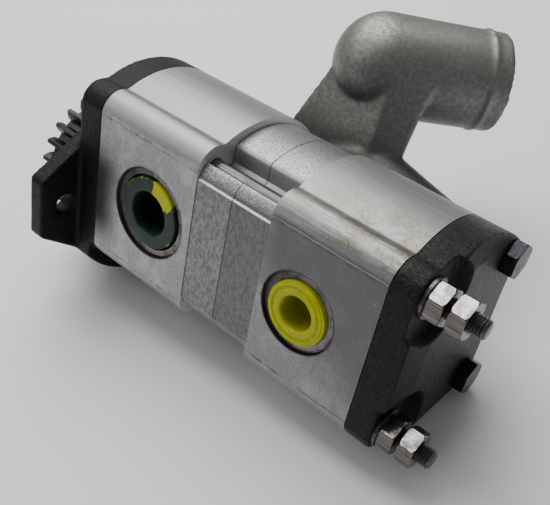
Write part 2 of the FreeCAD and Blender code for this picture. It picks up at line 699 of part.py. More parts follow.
def pressure_seal(face, inwards):
    """Seal shaped like a figure three that bounds the outlet side of a block's back."""
    x0 = face - PRESSURE_SEAL_DEPTH if inwards else face
    x1 = x0 + PRESSURE_SEAL_DEPTH
    outer = PRESSURE_SEAL_RADIUS + PRESSURE_SEAL_WIDTH
    bands = []
    for z in (0.0, CENTRE_DISTANCE):
        band = ring(x0, x1, outer, PRESSURE_SEAL_RADIUS, 0, z)
        bands.append(band.common(block(x0, x1, -outer, 0, z - outer, z + outer)))
    bands.append(block(x0, x1, -PRESSURE_SEAL_WIDTH, 0, PRESSURE_SEAL_RADIUS,
                       CENTRE_DISTANCE - PRESSURE_SEAL_RADIUS))
    return fuse(bands)


def bushes(spans):
    inner = JOURNAL_RADIUS + JOURNAL_CLEARANCE
    return group([ring(x0, x1, BUSH_RADIUS, inner, 0, z)
                  for x0, x1 in spans for z in (0.0, CENTRE_DISTANCE)])


def section(name, x0, x1, fore, gear_width):
    """Blocks, bushes and pressure seals of one section; returns the gear's span."""
    gear_0 = x0 + fore
    gear_1 = gear_0 + gear_width
    spans = [(x0, gear_0), (gear_1, x1)]
    export(name + "_fore_bearing_block", bearing_block(x0, gear_0, x0))
    export(name + "_aft_bearing_block", bearing_block(gear_1, x1, x1))
    export(name + "_shaft_bushes", bushes(spans))
    export(name + "_pressure_seals", group([pressure_seal(x0, False), pressure_seal(x1, True)]))
    export(name + "_body_seals", group([seal_loop(x0, x0 + GROOVE_DEPTH),
                                        seal_loop(x1 - GROOVE_DEPTH, x1)]))
    return gear_0 + SIDE_CLEARANCE, gear_1 - SIDE_CLEARANCE


# ---- Turning pieces ------------------------------------------------------------------------
def pump_gear(x0, x1, z, turn):
    return gear_blank(x0, x1, PUMP_TEETH, PUMP_MODULE, PRESSURE_ANGLE, PUMP_BACKLASH, z, turn)


def key_block():
    top = SEAT_RADIUS + KEY_RISE
    middle = X_INPUT + INPUT_WIDTH / 2.0
    return block(middle - KEY_LENGTH / 2.0, middle + KEY_LENGTH / 2.0,
                 -KEY_WIDTH / 2.0, KEY_WIDTH / 2.0, SEAT_RADIUS - KEY_DEPTH, top)


def front_drive_gear(gear_span):
    """Shaft and gear in one piece: threaded nose, keyed seat, journals and a splined tail."""
    tail = X_PLATE_2 - SHAFT_END_GAP / 2.0
    pieces = [rod(X_NOSE, X_INPUT, NOSE_THREAD_RADIUS),
              rod(X_INPUT, -INPUT_GAP, SEAT_RADIUS),
              rod(-INPUT_GAP, X_COUPLING - SHAFT_END_GAP, JOURNAL_RADIUS),
              spline_blank(X_COUPLING - SHAFT_END_GAP, tail),
              pump_gear(gear_span[0], gear_span[1], 0.0, 0.0)]
    return carve(fuse(pieces), [key_block()])


def rear_drive_gear(gear_span):
    head = X_PLATE_2 + SHAFT_END_GAP / 2.0
    seat = X_COUPLING + COUPLING_LENGTH + SHAFT_END_GAP
    return fuse([spline_blank(head, seat), rod(seat, X_COVER - SHAFT_END_GAP, JOURNAL_RADIUS),
                 pump_gear(gear_span[0], gear_span[1], 0.0, 0.0)])


def driven_gear(x0, x1, gear_span):
    half_pitch = math.pi / PUMP_TEETH
    turn = math.pi + half_pitch
    return fuse([rod(x0 + SHAFT_END_GAP, x1 - SHAFT_END_GAP, JOURNAL_RADIUS, 0, CENTRE_DISTANCE),
                 pump_gear(gear_span[0], gear_span[1], CENTRE_DISTANCE, turn)])


def input_gear():
    """Spur gear that carries the engine's drive, keyed on the shaft nose."""
    x0, x1 = X_INPUT, -INPUT_GAP
    shape = gear_blank(x0, x1, INPUT_TEETH, INPUT_MODULE, PRESSURE_ANGLE, INPUT_BACKLASH)
    rim = (INPUT_TEETH / 2.0 - INPUT_RIM_MODULES) * INPUT_MODULE
    recess = ring(x0, x0 + INPUT_WEB_RECESS, rim, INPUT_HUB_RADIUS)
    return carve(shape, [rod(x0, x1, SEAT_RADIUS), key_block(), recess])


def coupling_sleeve():
    x1 = X_COUPLING + COUPLING_LENGTH
    return carve(rod(X_COUPLING, x1, COUPLING_RADIUS), [spline_blank(X_COUPLING, x1, SPLINE_CLEARANCE)])


def nose_nut():
    seat = X_INPUT - WASHER_THICKNESS
    nut = hexagon(seat - NOSE_NUT_HEIGHT, seat, 0.0, 0.0)
    return nut.cut(rod(X_NOSE, X_INPUT, NOSE_THREAD_RADIUS + THREAD_GAP))


def nose_washer():
    return ring(X_INPUT - WASHER_THICKNESS, X_INPUT, NOSE_WASHER_RADIUS,
                NOSE_THREAD_RADIUS + THREAD_GAP)


# ---- Plugs and manifold ----------------------------------------------------------------------
def port_plug(x, port):
    """Push-in cap: a cup with a rim at the spot face and ribs that grip the thread."""
    seat = SPOT_DEPTH - HALF_WIDTH
    face = -HALF_WIDTH - port["proud"]
    end = seat + PLUG_LENGTH
    pieces = [rod_y(x, MID_Z, face, end, port["rim"] - PLUG_STEP),
              rod_y(x, MID_Z, face, seat + PLUG_RIM, port["rim"])]
    grip = port["thread"] - PLUG_RIB_GAP
    for k in range(PLUG_RIBS):
        y0 = seat + PLUG_RIB_START + PLUG_RIB_PITCH * k
        pieces.append(rod_y(x, MID_Z, y0, y0 + PLUG_RIB, grip))
    return carve(fuse(pieces), [rod_y(x, MID_Z, face - PAST, end - PLUG_FLOOR, port["hollow"])])


def inlets():
    return (FRONT_PORT_AT, REAR_PORT_AT)


def along_tube(distance):
    return DOME_CENTRE + TUBE_DIRECTION * distance


def tube_piece(start, end, r0, r1):
    """Length of round tube between two distances from the dome's centre."""
    if r0 == r1:
        return Part.makeCylinder(r0, end - start, along_tube(start), TUBE_DIRECTION)
    return Part.makeCone(r0, r1, end - start, along_tube(start), TUBE_DIRECTION)


def neck_outline(plan, z, inset):
    """Closed outline of the neck at one height, moved inwards by a wall."""
    points = [V(x, HALF_WIDTH + stand, z) for x, stand in plan]
    outline = Part.makePolygon(points + [points[0]])
    return outline.makeOffset2D(-inset) if inset else outline


def neck(inset):
    """Tapered duct from the tube down to the branches."""
    return Part.makeLoft([neck_outline(NECK_FOOT, NECK_FOOT_Z + inset, inset),
                          neck_outline(NECK_TOP, DOME_Z, inset)], True, True)


def branches(radius):
    """Round ducts from the crotch down to each inlet, with a ball at every end."""
    crotch = V(CROTCH_X, BRANCH_Y, CROTCH_Z)
    pieces = [Part.makeSphere(radius, crotch)]
    for x in inlets():
        end = V(x, BRANCH_Y, BRANCH_Z)
        along = end - crotch
        pieces.append(Part.makeCylinder(radius, along.Length, crotch, along))
        pieces.append(Part.makeSphere(radius, end))
    return pieces


def inlet_pad(x):
    """Square pad against the body, with rounded corners."""
    pad = block(x - PAD_HALF, x + PAD_HALF, HALF_WIDTH, HALF_WIDTH + PAD_THICKNESS,
                MID_Z - PAD_HALF, MID_Z + PAD_HALF)
    return pad.makeFillet(PAD_CORNER, [e for e in pad.Edges if e.BoundBox.YLength > PAD_THICKNESS - TINY])


def manifold_outer():
    bead = TUBE_LENGTH - BEAD_BACK
    crest = TUBE_END_RADIUS + BEAD_RISE
    pieces = [Part.makeSphere(TUBE_RADIUS, DOME_CENTRE),
              tube_piece(0, bead, TUBE_RADIUS, TUBE_END_RADIUS),
              tube_piece(bead, TUBE_LENGTH, TUBE_END_RADIUS, TUBE_END_RADIUS),
              tube_piece(bead - BEAD_LENGTH / 2, bead, TUBE_END_RADIUS, crest),
              tube_piece(bead, bead + BEAD_LENGTH / 2, crest, TUBE_END_RADIUS),
              neck(0.0)]
    for x in inlets():
        pieces.append(inlet_pad(x))
        pieces.append(rod_y(x, MID_Z, HALF_WIDTH, BRANCH_Y, INLET_RADIUS + MANIFOLD_WALL))
    return fuse(pieces + branches(BRANCH_RADIUS))


def manifold_hollow():
    bore = TUBE_RADIUS - MANIFOLD_WALL
    tools = [Part.makeSphere(bore, DOME_CENTRE), tube_piece(0, TUBE_LENGTH + PAST, bore, bore),
             neck(NECK_WALL)]
    for x in inlets():
        tools.append(rod_y(x, MID_Z, HALF_WIDTH - PAST, BRANCH_Y, INLET_RADIUS))
        tools += [rod_y(sx, sz, HALF_WIDTH - PAST, HALF_WIDTH + PAD_THICKNESS + PAST,
                        SCREW_RADIUS + BOLT_HOLE_GAP) for sx, sz in screw_places(x)]
        tools.append(inlet_ring(x))
    return tools + branches(BRANCH_RADIUS - MANIFOLD_WALL)


def inlet_ring(x):
    """Seal ring in the manifold's pad face."""
    y0, y1 = HALF_WIDTH, HALF_WIDTH + GROOVE_DEPTH
    outer = rod_y(x, MID_Z, y0, y1, INLET_RING_RADIUS + INLET_RING_WIDTH)
    return outer.cut(rod_y(x, MID_Z, y0, y1, INLET_RING_RADIUS))


def manifold_screw(x, z):
    seat = HALF_WIDTH + PAD_THICKNESS
    top = seat + SCREW_HEAD_HEIGHT
    shank = rod_y(x, z, HALF_WIDTH - SCREW_ENGAGEMENT, seat, SCREW_RADIUS)
    head = rod_y(x, z, seat, top, SCREW_HEAD_RADIUS)
    radius = SCREW_SOCKET / math.cos(math.radians(30))
    angles = [math.radians(60 * k) for k in range(6)]
    floor = top - SOCKET_DEPTH
    socket = [V(x + radius * math.cos(a), floor, z + radius * math.sin(a)) for a in angles]
    return fuse([shank, head]).cut(prism(socket, V(0, SOCKET_DEPTH + PAST, 0)))


# ---- Build --------------------------------------------------------------------------------------
def main():
    os.makedirs("parts", exist_ok=True)
    export("front_flange", front_flange())
    export("front_body", pump_body(X_FRONT, X_PLATE_1, FRONT_PORT_AT, FRONT_PORT))
    export("front_end_plate", end_plate(X_PLATE_1, X_PLATE_2, None))
    export("rear_front_plate", end_plate(X_PLATE_2, X_REAR, X_PLATE_2))
    export("plate_joint_seal", seal_loop(X_PLATE_2, X_PLATE_2 + GROOVE_DEPTH))
    export("rear_body", pump_body(X_REAR, X_COVER, REAR_PORT_AT, REAR_PORT))
    export("rear_cover", rear_cover())

    front_span = section("front", X_FRONT, X_PLATE_1, FRONT_FORE_BLOCK, FRONT_GEAR_WIDTH)
    rear_span = section("rear", X_REAR, X_COVER, REAR_FORE_BLOCK, REAR_GEAR_WIDTH)
    export("shaft_seal", shaft_seal())
    export("seal_circlip", circlip())
    inner = JOURNAL_RADIUS + SEAL_RUNNING_GAP
    export("section_shaft_seals", group([ring(x, x + MID_SEAL_WIDTH, MID_SEAL_RADIUS, inner)
                                         for x in mid_seal_stations()]))
    export("dowel_pins", group(dowels()))

    export("stud_bolts", studs())
    export("inner_stud_nuts", nuts(X_INNER_NUT))
    export("outer_stud_nuts", nuts(X_OUTER_NUT))
    export("stud_washers", washers(X_SEAT))
    export("hex_head_bolts", hex_bolts())

    export("front_drive_gear", front_drive_gear(front_span))
    export("rear_drive_gear", rear_drive_gear(rear_span))
    export("front_driven_gear", driven_gear(X_FRONT, X_PLATE_1, front_span))
    export("rear_driven_gear", driven_gear(X_REAR, X_COVER, rear_span))
    export("coupling_sleeve", coupling_sleeve())
    export("input_gear", input_gear())
    export("input_key", key_block())
    export("input_washer", nose_washer())
    export("input_nut", nose_nut())

    export("front_port_plug", port_plug(FRONT_PORT_AT, FRONT_PORT))
    export("rear_port_plug", port_plug(REAR_PORT_AT, REAR_PORT))
    export("suction_manifold", carve(manifold_outer(), manifold_hollow()))
    export("manifold_seals", group([inlet_ring(x) for x in inlets()]))
    export("manifold_screws", group([manifold_screw(sx, sz) for x in inlets()
                                     for sx, sz in screw_places(x)]))


main()
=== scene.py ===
# %% [markdown]
# # A tandem gear pump, finished over its CAD frame
# The pump is cast iron at both ends, drawn aluminium in the middle, die-cast plates between the
# two sections, and a sand-cast suction elbow at the back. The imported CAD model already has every
# size, so this lesson only adds what a CAD model lacks: cast skins with soft edges, cut threads,
# moulded caps, and a finish for each metal. Everything is placed from the frame.

# %% Load the frame
import json
import math
import bpy
import numpy as np
from mathutils import Matrix, Vector


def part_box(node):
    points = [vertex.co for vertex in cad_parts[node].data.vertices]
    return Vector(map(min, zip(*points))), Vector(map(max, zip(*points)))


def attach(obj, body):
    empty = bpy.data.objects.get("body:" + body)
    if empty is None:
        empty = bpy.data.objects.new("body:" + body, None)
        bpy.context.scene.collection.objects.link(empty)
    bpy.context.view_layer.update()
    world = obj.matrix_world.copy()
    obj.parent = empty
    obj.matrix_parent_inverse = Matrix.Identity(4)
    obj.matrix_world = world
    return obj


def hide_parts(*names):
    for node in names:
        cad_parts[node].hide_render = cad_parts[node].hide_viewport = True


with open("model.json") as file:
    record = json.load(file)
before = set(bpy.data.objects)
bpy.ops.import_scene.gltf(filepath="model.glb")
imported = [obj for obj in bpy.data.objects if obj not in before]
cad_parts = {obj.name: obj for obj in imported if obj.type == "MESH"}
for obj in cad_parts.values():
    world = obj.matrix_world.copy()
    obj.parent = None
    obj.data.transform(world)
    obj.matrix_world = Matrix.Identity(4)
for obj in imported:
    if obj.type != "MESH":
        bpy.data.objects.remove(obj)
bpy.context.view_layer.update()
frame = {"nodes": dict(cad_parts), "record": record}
nodes = frame["nodes"]
slots = {part["node"]: part["material_slot"] for part in frame["record"]["subparts"]}
MM = 0.001

# %% [markdown]
# ## Where the pieces are
# The CAD boxes give the stations along the shafts and the axes of the studs and ports. The same
# numbers place both the new pieces and the marks in the finishes, so nothing has to be measured
# twice.

# %% Stations read from the frame
front_low, front_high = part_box("front_body")
rear_low, rear_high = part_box("rear_body")
cover_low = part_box("rear_cover")[0]
plate_low, plate_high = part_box("front_end_plate")
stud_low, stud_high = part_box("stud_bolts")
STUD_RADIUS = 5.0 * MM
STUD_Y = stud_low.y + STUD_RADIUS
STUD_Z = (stud_high.z - STUD_RADIUS, stud_low.z + STUD_RADIUS)
MIDDLE_Z = (front_low.z + front_high.z) / 2
NEAR_SIDE, PLATE_SIDE = front_low.y, plate_low.y
SKIM_Z = STUD_Z[0] + 2.2 * MM
LEDGE_Z = STUD_Z[0] - 2.5 * MM
green_low, green_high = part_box("front_port_plug")
yellow_low, yellow_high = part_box("rear_port_plug")
PORT_X = ((green_low.x + green_high.x) / 2, (yellow_low.x + yellow_high.x) / 2)
SPOT_RADIUS = (24.75 * MM, 21.0 * MM)
joints = (front_low.x, front_high.x, plate_high.x, rear_low.x, rear_high.x)
print("joints at", [round(x / MM, 1) for x in joints])
print("near side", round(NEAR_SIDE / MM, 1), "plate side", round(PLATE_SIDE / MM, 1))

# %% [markdown]
# ## The camera
# The pump is seen from its outlet side, from the right and from above, and the camera is rolled
# a little. A view is easiest to keep as an azimuth, an elevation, a roll and a distance from a
# point on the object, because each of these can be judged on its own.

# %% Camera
AZIMUTH, ELEVATION, ROLL = 33.797, 33.401, 12.290
TARGET = Vector((0.1027, 0.0227, -0.0095))
DISTANCE = 0.45
LENS = 51.39


def view_axes(azimuth, elevation, roll):
    """Right, up and backward directions: level axes first, then turned about the line of sight."""
    az, el, tilt = (math.radians(v) for v in (azimuth, elevation, roll))
    level_right = Vector((math.cos(az), math.sin(az), 0))
    back = Vector((math.sin(az) * math.cos(el), -math.cos(az) * math.cos(el), math.sin(el)))
    level_up = back.cross(level_right)
    right = level_right * math.cos(tilt) + level_up * math.sin(tilt)
    return right, back.cross(right), back


right, up, back = view_axes(AZIMUTH, ELEVATION, ROLL)
lens = bpy.data.cameras.new("view")
lens.lens = LENS
lens.sensor_width = 36.0
lens.clip_start = 0.01
camera = bpy.data.objects.new("view", lens)
bpy.context.scene.collection.objects.link(camera)
place = TARGET + back * DISTANCE
camera.matrix_world = Matrix.Translation(place) @ Matrix((right, up, back)).transposed().to_4x4()
bpy.context.scene.camera = camera
print("camera at", [round(v, 3) for v in place])

# %% [markdown]
# ## Helpers for surfaces
# The new turned shapes are grids of points worked out by numpy in one go. Each grid closes on
# itself across, as a tube does, and ends in a pole at each end. Joining the points into quads is
# the same job every time, so one helper does it.


# %% Grid helper
def grid_mesh(name, *grids):
    """Mesh from grids of points[i, j]: j runs round a closed ring and i runs along, point i, j
    is joined to i + 1 and j + 1, and a fan closes each end on the mean of its ring."""
    verts, faces, base = [], [], 0
    for points in grids:
        rows, ring = points.shape[:2]
        i, j = np.meshgrid(np.arange(rows - 1), np.arange(ring), indexing="ij")
        here, beside = i * ring + j, i * ring + (j + 1) % ring
        quads = np.stack((here, beside, beside + ring, here + ring), -1).reshape(-1, 4)
        turn = np.arange(ring)
        onward = (turn + 1) % ring
        last = (rows - 1) * ring
        start, stop = rows * ring, rows * ring + 1
        first_fan = np.stack((turn, np.full(ring, start), onward), -1)
        last_fan = np.stack((last + turn, last + onward, np.full(ring, stop)), -1)
        for part in (quads, first_fan, last_fan):
            faces += (part + base).tolist()
        verts += [points.reshape(-1, 3), points[0].mean(0)[None], points[-1].mean(0)[None]]
        base += stop + 1
    mesh = bpy.data.meshes.new(name)
    mesh.from_pydata(np.vstack(verts).tolist(), [], faces)
    mesh.validate()
    mesh.shade_smooth()
    return mesh


def put(name, mesh, slot, *replaced):
    """A new piece that stands for CAD nodes and rides on the housing. It stays at the origin."""
    piece = bpy.data.objects.new(name, mesh)
    bpy.context.scene.collection.objects.link(piece)
    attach(piece, "housing")
    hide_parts(*replaced)
    mesh.materials.clear()
    mesh.materials.append(finishes[slot])
    print(name, "%d faces" % len(mesh.polygons))


# %% [markdown]
# ## Helpers for finishes
# A finish is a Principled shader whose colour, roughness and bump come from noise on Object
# coordinates, so a pattern stays where it is on the metal in every view. Stretching the
# coordinates along one axis turns the same noise into the drawing lines of an extrusion or the
# strokes of a cutter.


# %% Shader helpers
finishes = {}


class Finish:
    """A material being wired: each method adds nodes and hands back an output."""

    def __init__(self, name, **constants):
        self.name = name
        self.material = bpy.data.materials.new(name)
        self.material.use_nodes = True
        self.tree = self.material.node_tree
        self.shader = self.tree.nodes["Principled BSDF"]
        for socket, value in constants.items():
            self.shader.inputs[socket.replace("_", " ")].default_value = value
        self.coords = self.tree.nodes.new("ShaderNodeTexCoord").outputs["Object"]

    def node(self, kind, inputs=(), **settings):
        """A shader node with its settings and its inputs, by name or by number."""
        made = self.tree.nodes.new("ShaderNode" + kind)
        for key, value in settings.items():
            setattr(made, key, value)
        for key, value in dict(inputs).items():
            self.feed(made.inputs[key], value)
        return made

    def feed(self, socket, value):
        """Link an output to a socket, or set a constant on it."""
        if isinstance(value, bpy.types.NodeSocket):
            self.tree.links.new(value, socket)
        else:
            socket.default_value = value

    def stretched(self, scale):
        """Object coordinates scaled per axis."""
        return self.node("Mapping", {"Vector": self.coords, "Scale": scale}).outputs["Vector"]

    def noise(self, scale, detail=4.0, rough=0.6, along=None, warp=0.0):
        """Noise of a scale, or stretched by a scale per axis."""
        where = self.coords if along is None else self.stretched(along)
        made = self.node("TexNoise", {"Vector": where, "Scale": scale, "Detail": detail,
                                      "Roughness": rough, "Distortion": warp})
        return made.outputs["Fac"]

    def cells(self, scale):
        """Distance to the nearest of many scattered points."""
        return self.node("TexVoronoi", {"Vector": self.coords, "Scale": scale}).outputs["Distance"]

    def math(self, operation, a, b=0.0, c=0.0):
        """Arithmetic on up to three values."""
        made = self.node("Math", {0: a, 1: b, 2: c}, operation=operation)
        return made.outputs[0]

    def ramp(self, value, low, high, to_low=0.0, to_high=1.0):
        """Smooth step from to_low at low to to_high at high."""
        made = self.node("MapRange", {"Value": value, "From Min": low, "From Max": high,
                                      "To Min": to_low, "To Max": to_high},
                         interpolation_type="SMOOTHSTEP")
        return made.outputs["Result"]

    def mix(self, amount, a, b):
        """Blend of two colours."""
        made = self.node("Mix", data_type="RGBA")
        for index, value in ((0, amount), (6, a), (7, b)):
            self.feed(made.inputs[index], value)
        return made.outputs[2]

    def axis(self, name):
        """Place along one axis."""
        split = self.node("SeparateXYZ", {"Vector": self.coords})
        return split.outputs[name]

    def facing(self, name):
        """The surface normal's part along one of the frame's axes. The pieces that use it are
        on the housing, which never turns."""
        normal = self.node("NewGeometry").outputs["Normal"]
        split = self.node("SeparateXYZ", {"Vector": normal})
        return split.outputs[name]

    def around(self, x, z):
        """Distance from an axis that runs along Y."""
        dx = self.math("SUBTRACT", self.axis("X"), x)
        dz = self.math("SUBTRACT", self.axis("Z"), z)
        square = self.math("MULTIPLY_ADD", dx, dx, self.math("MULTIPLY", dz, dz))
        return self.math("SQRT", square)

    def band(self, value, middle, half, soft):
        """1 within half of the middle value, fading to 0 over soft."""
        off = self.math("ABSOLUTE", self.math("SUBTRACT", value, middle))
        return self.ramp(off, half, half + soft, 1.0, 0.0)

    def both(self, first, *others):
        """Product of masks."""
        for other in others:
            first = self.math("MULTIPLY", first, other)
        return first

    def bump(self, height, strength, distance, normal=None):
        """A normal tilted by a height, on top of another bump if one is given."""
        made = self.node("Bump", {"Height": height, "Strength": strength, "Distance": distance})
        if normal is not None:
            self.feed(made.inputs["Normal"], normal)
        return made.outputs["Normal"]

    def done(self, color, roughness, normal):
        """Feed the shader, and list the finish under its name."""
        for socket, value in (("Base Color", color), ("Roughness", roughness), ("Normal", normal)):
            self.feed(self.shader.inputs[socket], value)
        finishes[self.name] = self.material
        print("finish", self.name, "%d nodes" % len(self.tree.nodes))


def grey(value, red=0.0, blue=0.0):
    """A near-neutral colour, warmed by red or cooled by blue."""
    return (value + red, value, value + blue, 1.0)


# %% [markdown]
# ## Torn edges of the skimmed sides
# The flat sides of both bodies are skimmed by a cutter that stops short of the round edge. Where
# it runs out, it tears the metal. A band of noise at that height gives the dark flecks, because
# noise has no beginning or end that the eye could find.


# %% Torn skim edge
def skim_edge(f, tone):
    """Along the upper and lower edge of the skimmed side: dark flecks, then a thin painted
    highlight above them. The height from the middle is made uneven by noise."""
    on_side = f.ramp(f.axis("Y"), NEAR_SIDE + 1 * MM, NEAR_SIDE + 2 * MM, 1.0, 0.0)
    torn = f.ramp(f.noise(1.0, 6.0, 0.75, along=(150.0, 260.0, 1500.0)), 0.47, 0.60)
    height = f.math("ABSOLUTE", f.math("SUBTRACT", f.axis("Z"), MIDDLE_Z))
    height = f.math("MULTIPLY_ADD", f.noise(90.0, 4.0, 0.7), 1.6 * MM, height)
    edge = SKIM_Z - MIDDLE_Z
    flecks = f.both(f.band(height, edge - 0.1 * MM, 0.35 * MM, 1.3 * MM), torn, on_side)
    # A thin painted highlight along the edge, above the flecks.
    edge_highlight = f.both(f.band(height, edge + 0.9 * MM, 0.10 * MM, 0.30 * MM), on_side)
    tone = f.mix(f.math("MULTIPLY", edge_highlight, 0.35), tone, grey(0.70))
    return f.mix(f.math("MULTIPLY", flecks, 0.85), tone, grey(0.085, 0.01))


print("skimmed sides end", round(SKIM_Z / MM, 1), "above the drive shaft")

# %% [markdown]
# ## Spot faces round the ports
# A flat ring is turned round each port, a little deeper than the side. A distance from the port's
# axis, fed to noise as its only coordinate, gives the rings of the tool. The same distance, made
# ragged, puts a black painted shade against the wall of the recess, and the left of each ring gets
# a painted shadow of the wall.


# %% Spot faces
def spot_faces(f, tone):
    """Turned rings: bright tool marks, oily brown in places, a painted shadow of the wall on the
    left and painted shade against the wall. Outside the wall, thin torn dirt."""
    near_half = f.ramp(f.axis("Y"), -20 * MM, -10 * MM, 1.0, 0.0)
    for x, radius in zip(PORT_X, SPOT_RADIUS):
        r = f.around(x, MIDDLE_Z)
        rings = f.node("CombineXYZ", {"X": f.math("MULTIPLY", r, 1500.0)}).outputs[0]
        marks = f.node("TexNoise", {"Vector": rings, "Scale": 1.0, "Detail": 3.0}).outputs["Fac"]
        turned = f.ramp(marks, 0.35, 0.65)
        turned = f.mix(turned, grey(0.12, 0.012, -0.006), grey(0.42, 0.01, -0.01))
        oily = f.ramp(f.noise(120.0, 4.0, 0.6), 0.42, 0.62)
        turned = f.mix(f.math("MULTIPLY", oily, 0.8), turned, (0.09, 0.082, 0.060, 1))
        # Painted shadow of the recess wall: the left of each ring is darkened.
        left = f.ramp(f.axis("X"), x - 20 * MM, x + 4 * MM, 0.8, 0.0)
        turned = f.mix(left, turned, grey(0.04, 0.003, -0.002))
        ragged = f.math("MULTIPLY_ADD", f.noise(420.0, 4.0, 0.7), 1.8 * MM, r)
        # A ragged ring of painted shade against the wall inside the recess.
        wall_shade = f.band(ragged, radius + 0.65 * MM, 0.35 * MM, 0.7 * MM)
        turned = f.mix(wall_shade, turned, grey(0.03, 0.004))
        inside = f.ramp(r, radius - 0.05 * MM, radius + 0.05 * MM, 1.0, 0.0)
        torn = f.both(f.band(ragged, radius + 1.0 * MM, 0.25 * MM, 0.45 * MM), near_half)
        tone = f.mix(f.math("MULTIPLY", torn, 0.7), tone, grey(0.05))
        tone = f.mix(f.both(inside, near_half), tone, turned)
    return tone


print("spot faces at", [round(x / MM, 1) for x in PORT_X])

# %% [markdown]
# ## Old oil
# Oil creeps out of the joints, runs along the bodies and dries there, and over the rear body it
# leaves a greenish film. The valley beside the near boss is made darker and brownish. Masks made
# from the position say where these lie, and noise breaks them up so that they have no clean border.

# %% Old oil
VALLEY_Y = STUD_Y + 2 * MM
OLIVE = (0.135, 0.132, 0.070, 1)
VALLEY_DARK = (0.13, 0.125, 0.095, 1)


def old_oil(f, tone):
    """A darker brownish band in the valley beside the near boss of both bodies. On the rear body,
    also streaks along the boss and an olive film over the near half of the arch."""
    top = f.ramp(f.facing("Z"), 0.25, 0.6)
    rear = f.ramp(f.axis("X"), rear_low.x - 4 * MM, rear_low.x)
    valley = f.both(top, f.band(f.axis("Y"), VALLEY_Y, 0.8 * MM, 2.6 * MM))
    uneven = f.ramp(f.noise(120.0, 4.0, 0.7), 0.30, 0.60, 0.15, 0.65)
    tone = f.mix(f.both(valley, uneven), tone, VALLEY_DARK)
    boss = f.both(top, rear, f.ramp(f.axis("Y"), VALLEY_Y - 2 * MM, VALLEY_Y, 1.0, 0.0))
    streaks = f.noise(1.0, 5.0, 0.7, along=(28.0, 700.0, 700.0))
    tone = f.mix(f.both(boss, f.ramp(streaks, 0.50, 0.60, 0.0, 0.55)), tone, grey(0.17, 0.004))
    tone = f.mix(f.both(boss, f.ramp(streaks, 0.44, 0.36, 0.0, 0.6)), tone, grey(0.66))
    beside_boss = f.ramp(f.axis("Y"), VALLEY_Y + 6 * MM, VALLEY_Y + 36 * MM, 1.0, 0.0)
    late = f.ramp(f.axis("X"), rear_low.x, rear_high.x - 12 * MM, 0.45, 1.0)
    blots = f.ramp(f.noise(70.0, 5.0, 0.7), 0.34, 0.56)
    specks = f.ramp(f.noise(750.0, 4.0, 0.75), 0.40, 0.60, 0.35, 1.0)
    film = f.both(top, rear, beside_boss, late, blots, specks)
    return f.mix(f.math("MULTIPLY", film, 0.9), tone, OLIVE)


print("valley at", round(VALLEY_Y / MM, 1))

# %% [markdown]
# ## Drawn aluminium
# The two gear bodies are cut from a drawn bar. The die leaves fine lines along the bar on the
# arches, and the sides are skimmed, so there the marks run across. Handling adds dark specks,
# smudges, pits and a few scratches. The side of the rear body is made darker, more towards the top
# right, and the front body's side gets a painted shadow and reflection of the ear beside it, so
# both are laid on by position. Faces that look along +X get painted light.


# %% Extruded aluminium
def skimmed_side(f, skim, grain):
    """Upright strokes of the cutter, then fine specks, bright blotches and dark smudges."""
    side = f.mix(f.ramp(skim, 0.35, 0.65), grey(0.37, 0.004, -0.010), grey(0.46, 0.004, -0.010))
    side = f.mix(f.ramp(f.noise(1000.0, 3.0, 0.75), 0.47, 0.60, 0.0, 0.55), side, grey(0.16))
    blotch = f.ramp(f.noise(75.0, 5.0, 0.65), 0.46, 0.66, 0.0, 0.5)
    side = f.mix(blotch, side, grey(0.60, 0.0, -0.012))
    smudge = f.both(f.ramp(f.noise(130.0, 4.0, 0.7), 0.60, 0.72), f.ramp(grain, 0.40, 0.60))
    return f.mix(f.math("MULTIPLY", smudge, 0.75), side, grey(0.10, 0.004))


def darkened_sides(f, tone, on_side):
    """The rear body's side made darker, more towards the top right, and a painted shadow and
    reflection of the ear on the front body's side beside it."""
    # The rear body's side is darkened, more towards the top right.
    film = f.ramp(f.axis("X"), rear_low.x - 20 * MM, rear_low.x + 8 * MM)
    high = f.math("MULTIPLY_ADD", f.axis("X"), 0.55, f.axis("Z"))
    film = f.both(film, on_side, f.ramp(high, 82 * MM, 128 * MM, 0.35, 1.0))
    tone = f.mix(f.math("MULTIPLY", film, 0.85), tone, grey(0.120, 0.0, 0.010))
    # Painted shadow and reflection of the dark ear on the front body's side.
    ear_shadow = f.ramp(f.axis("X"), front_low.x + 3 * MM, front_low.x + 21 * MM, 0.92, 0.0)
    corner = f.both(on_side, ear_shadow, f.band(f.axis("Z"), MIDDLE_Z - 6 * MM, 12 * MM, 22 * MM))
    return f.mix(corner, tone, grey(0.035, 0.0, 0.004))


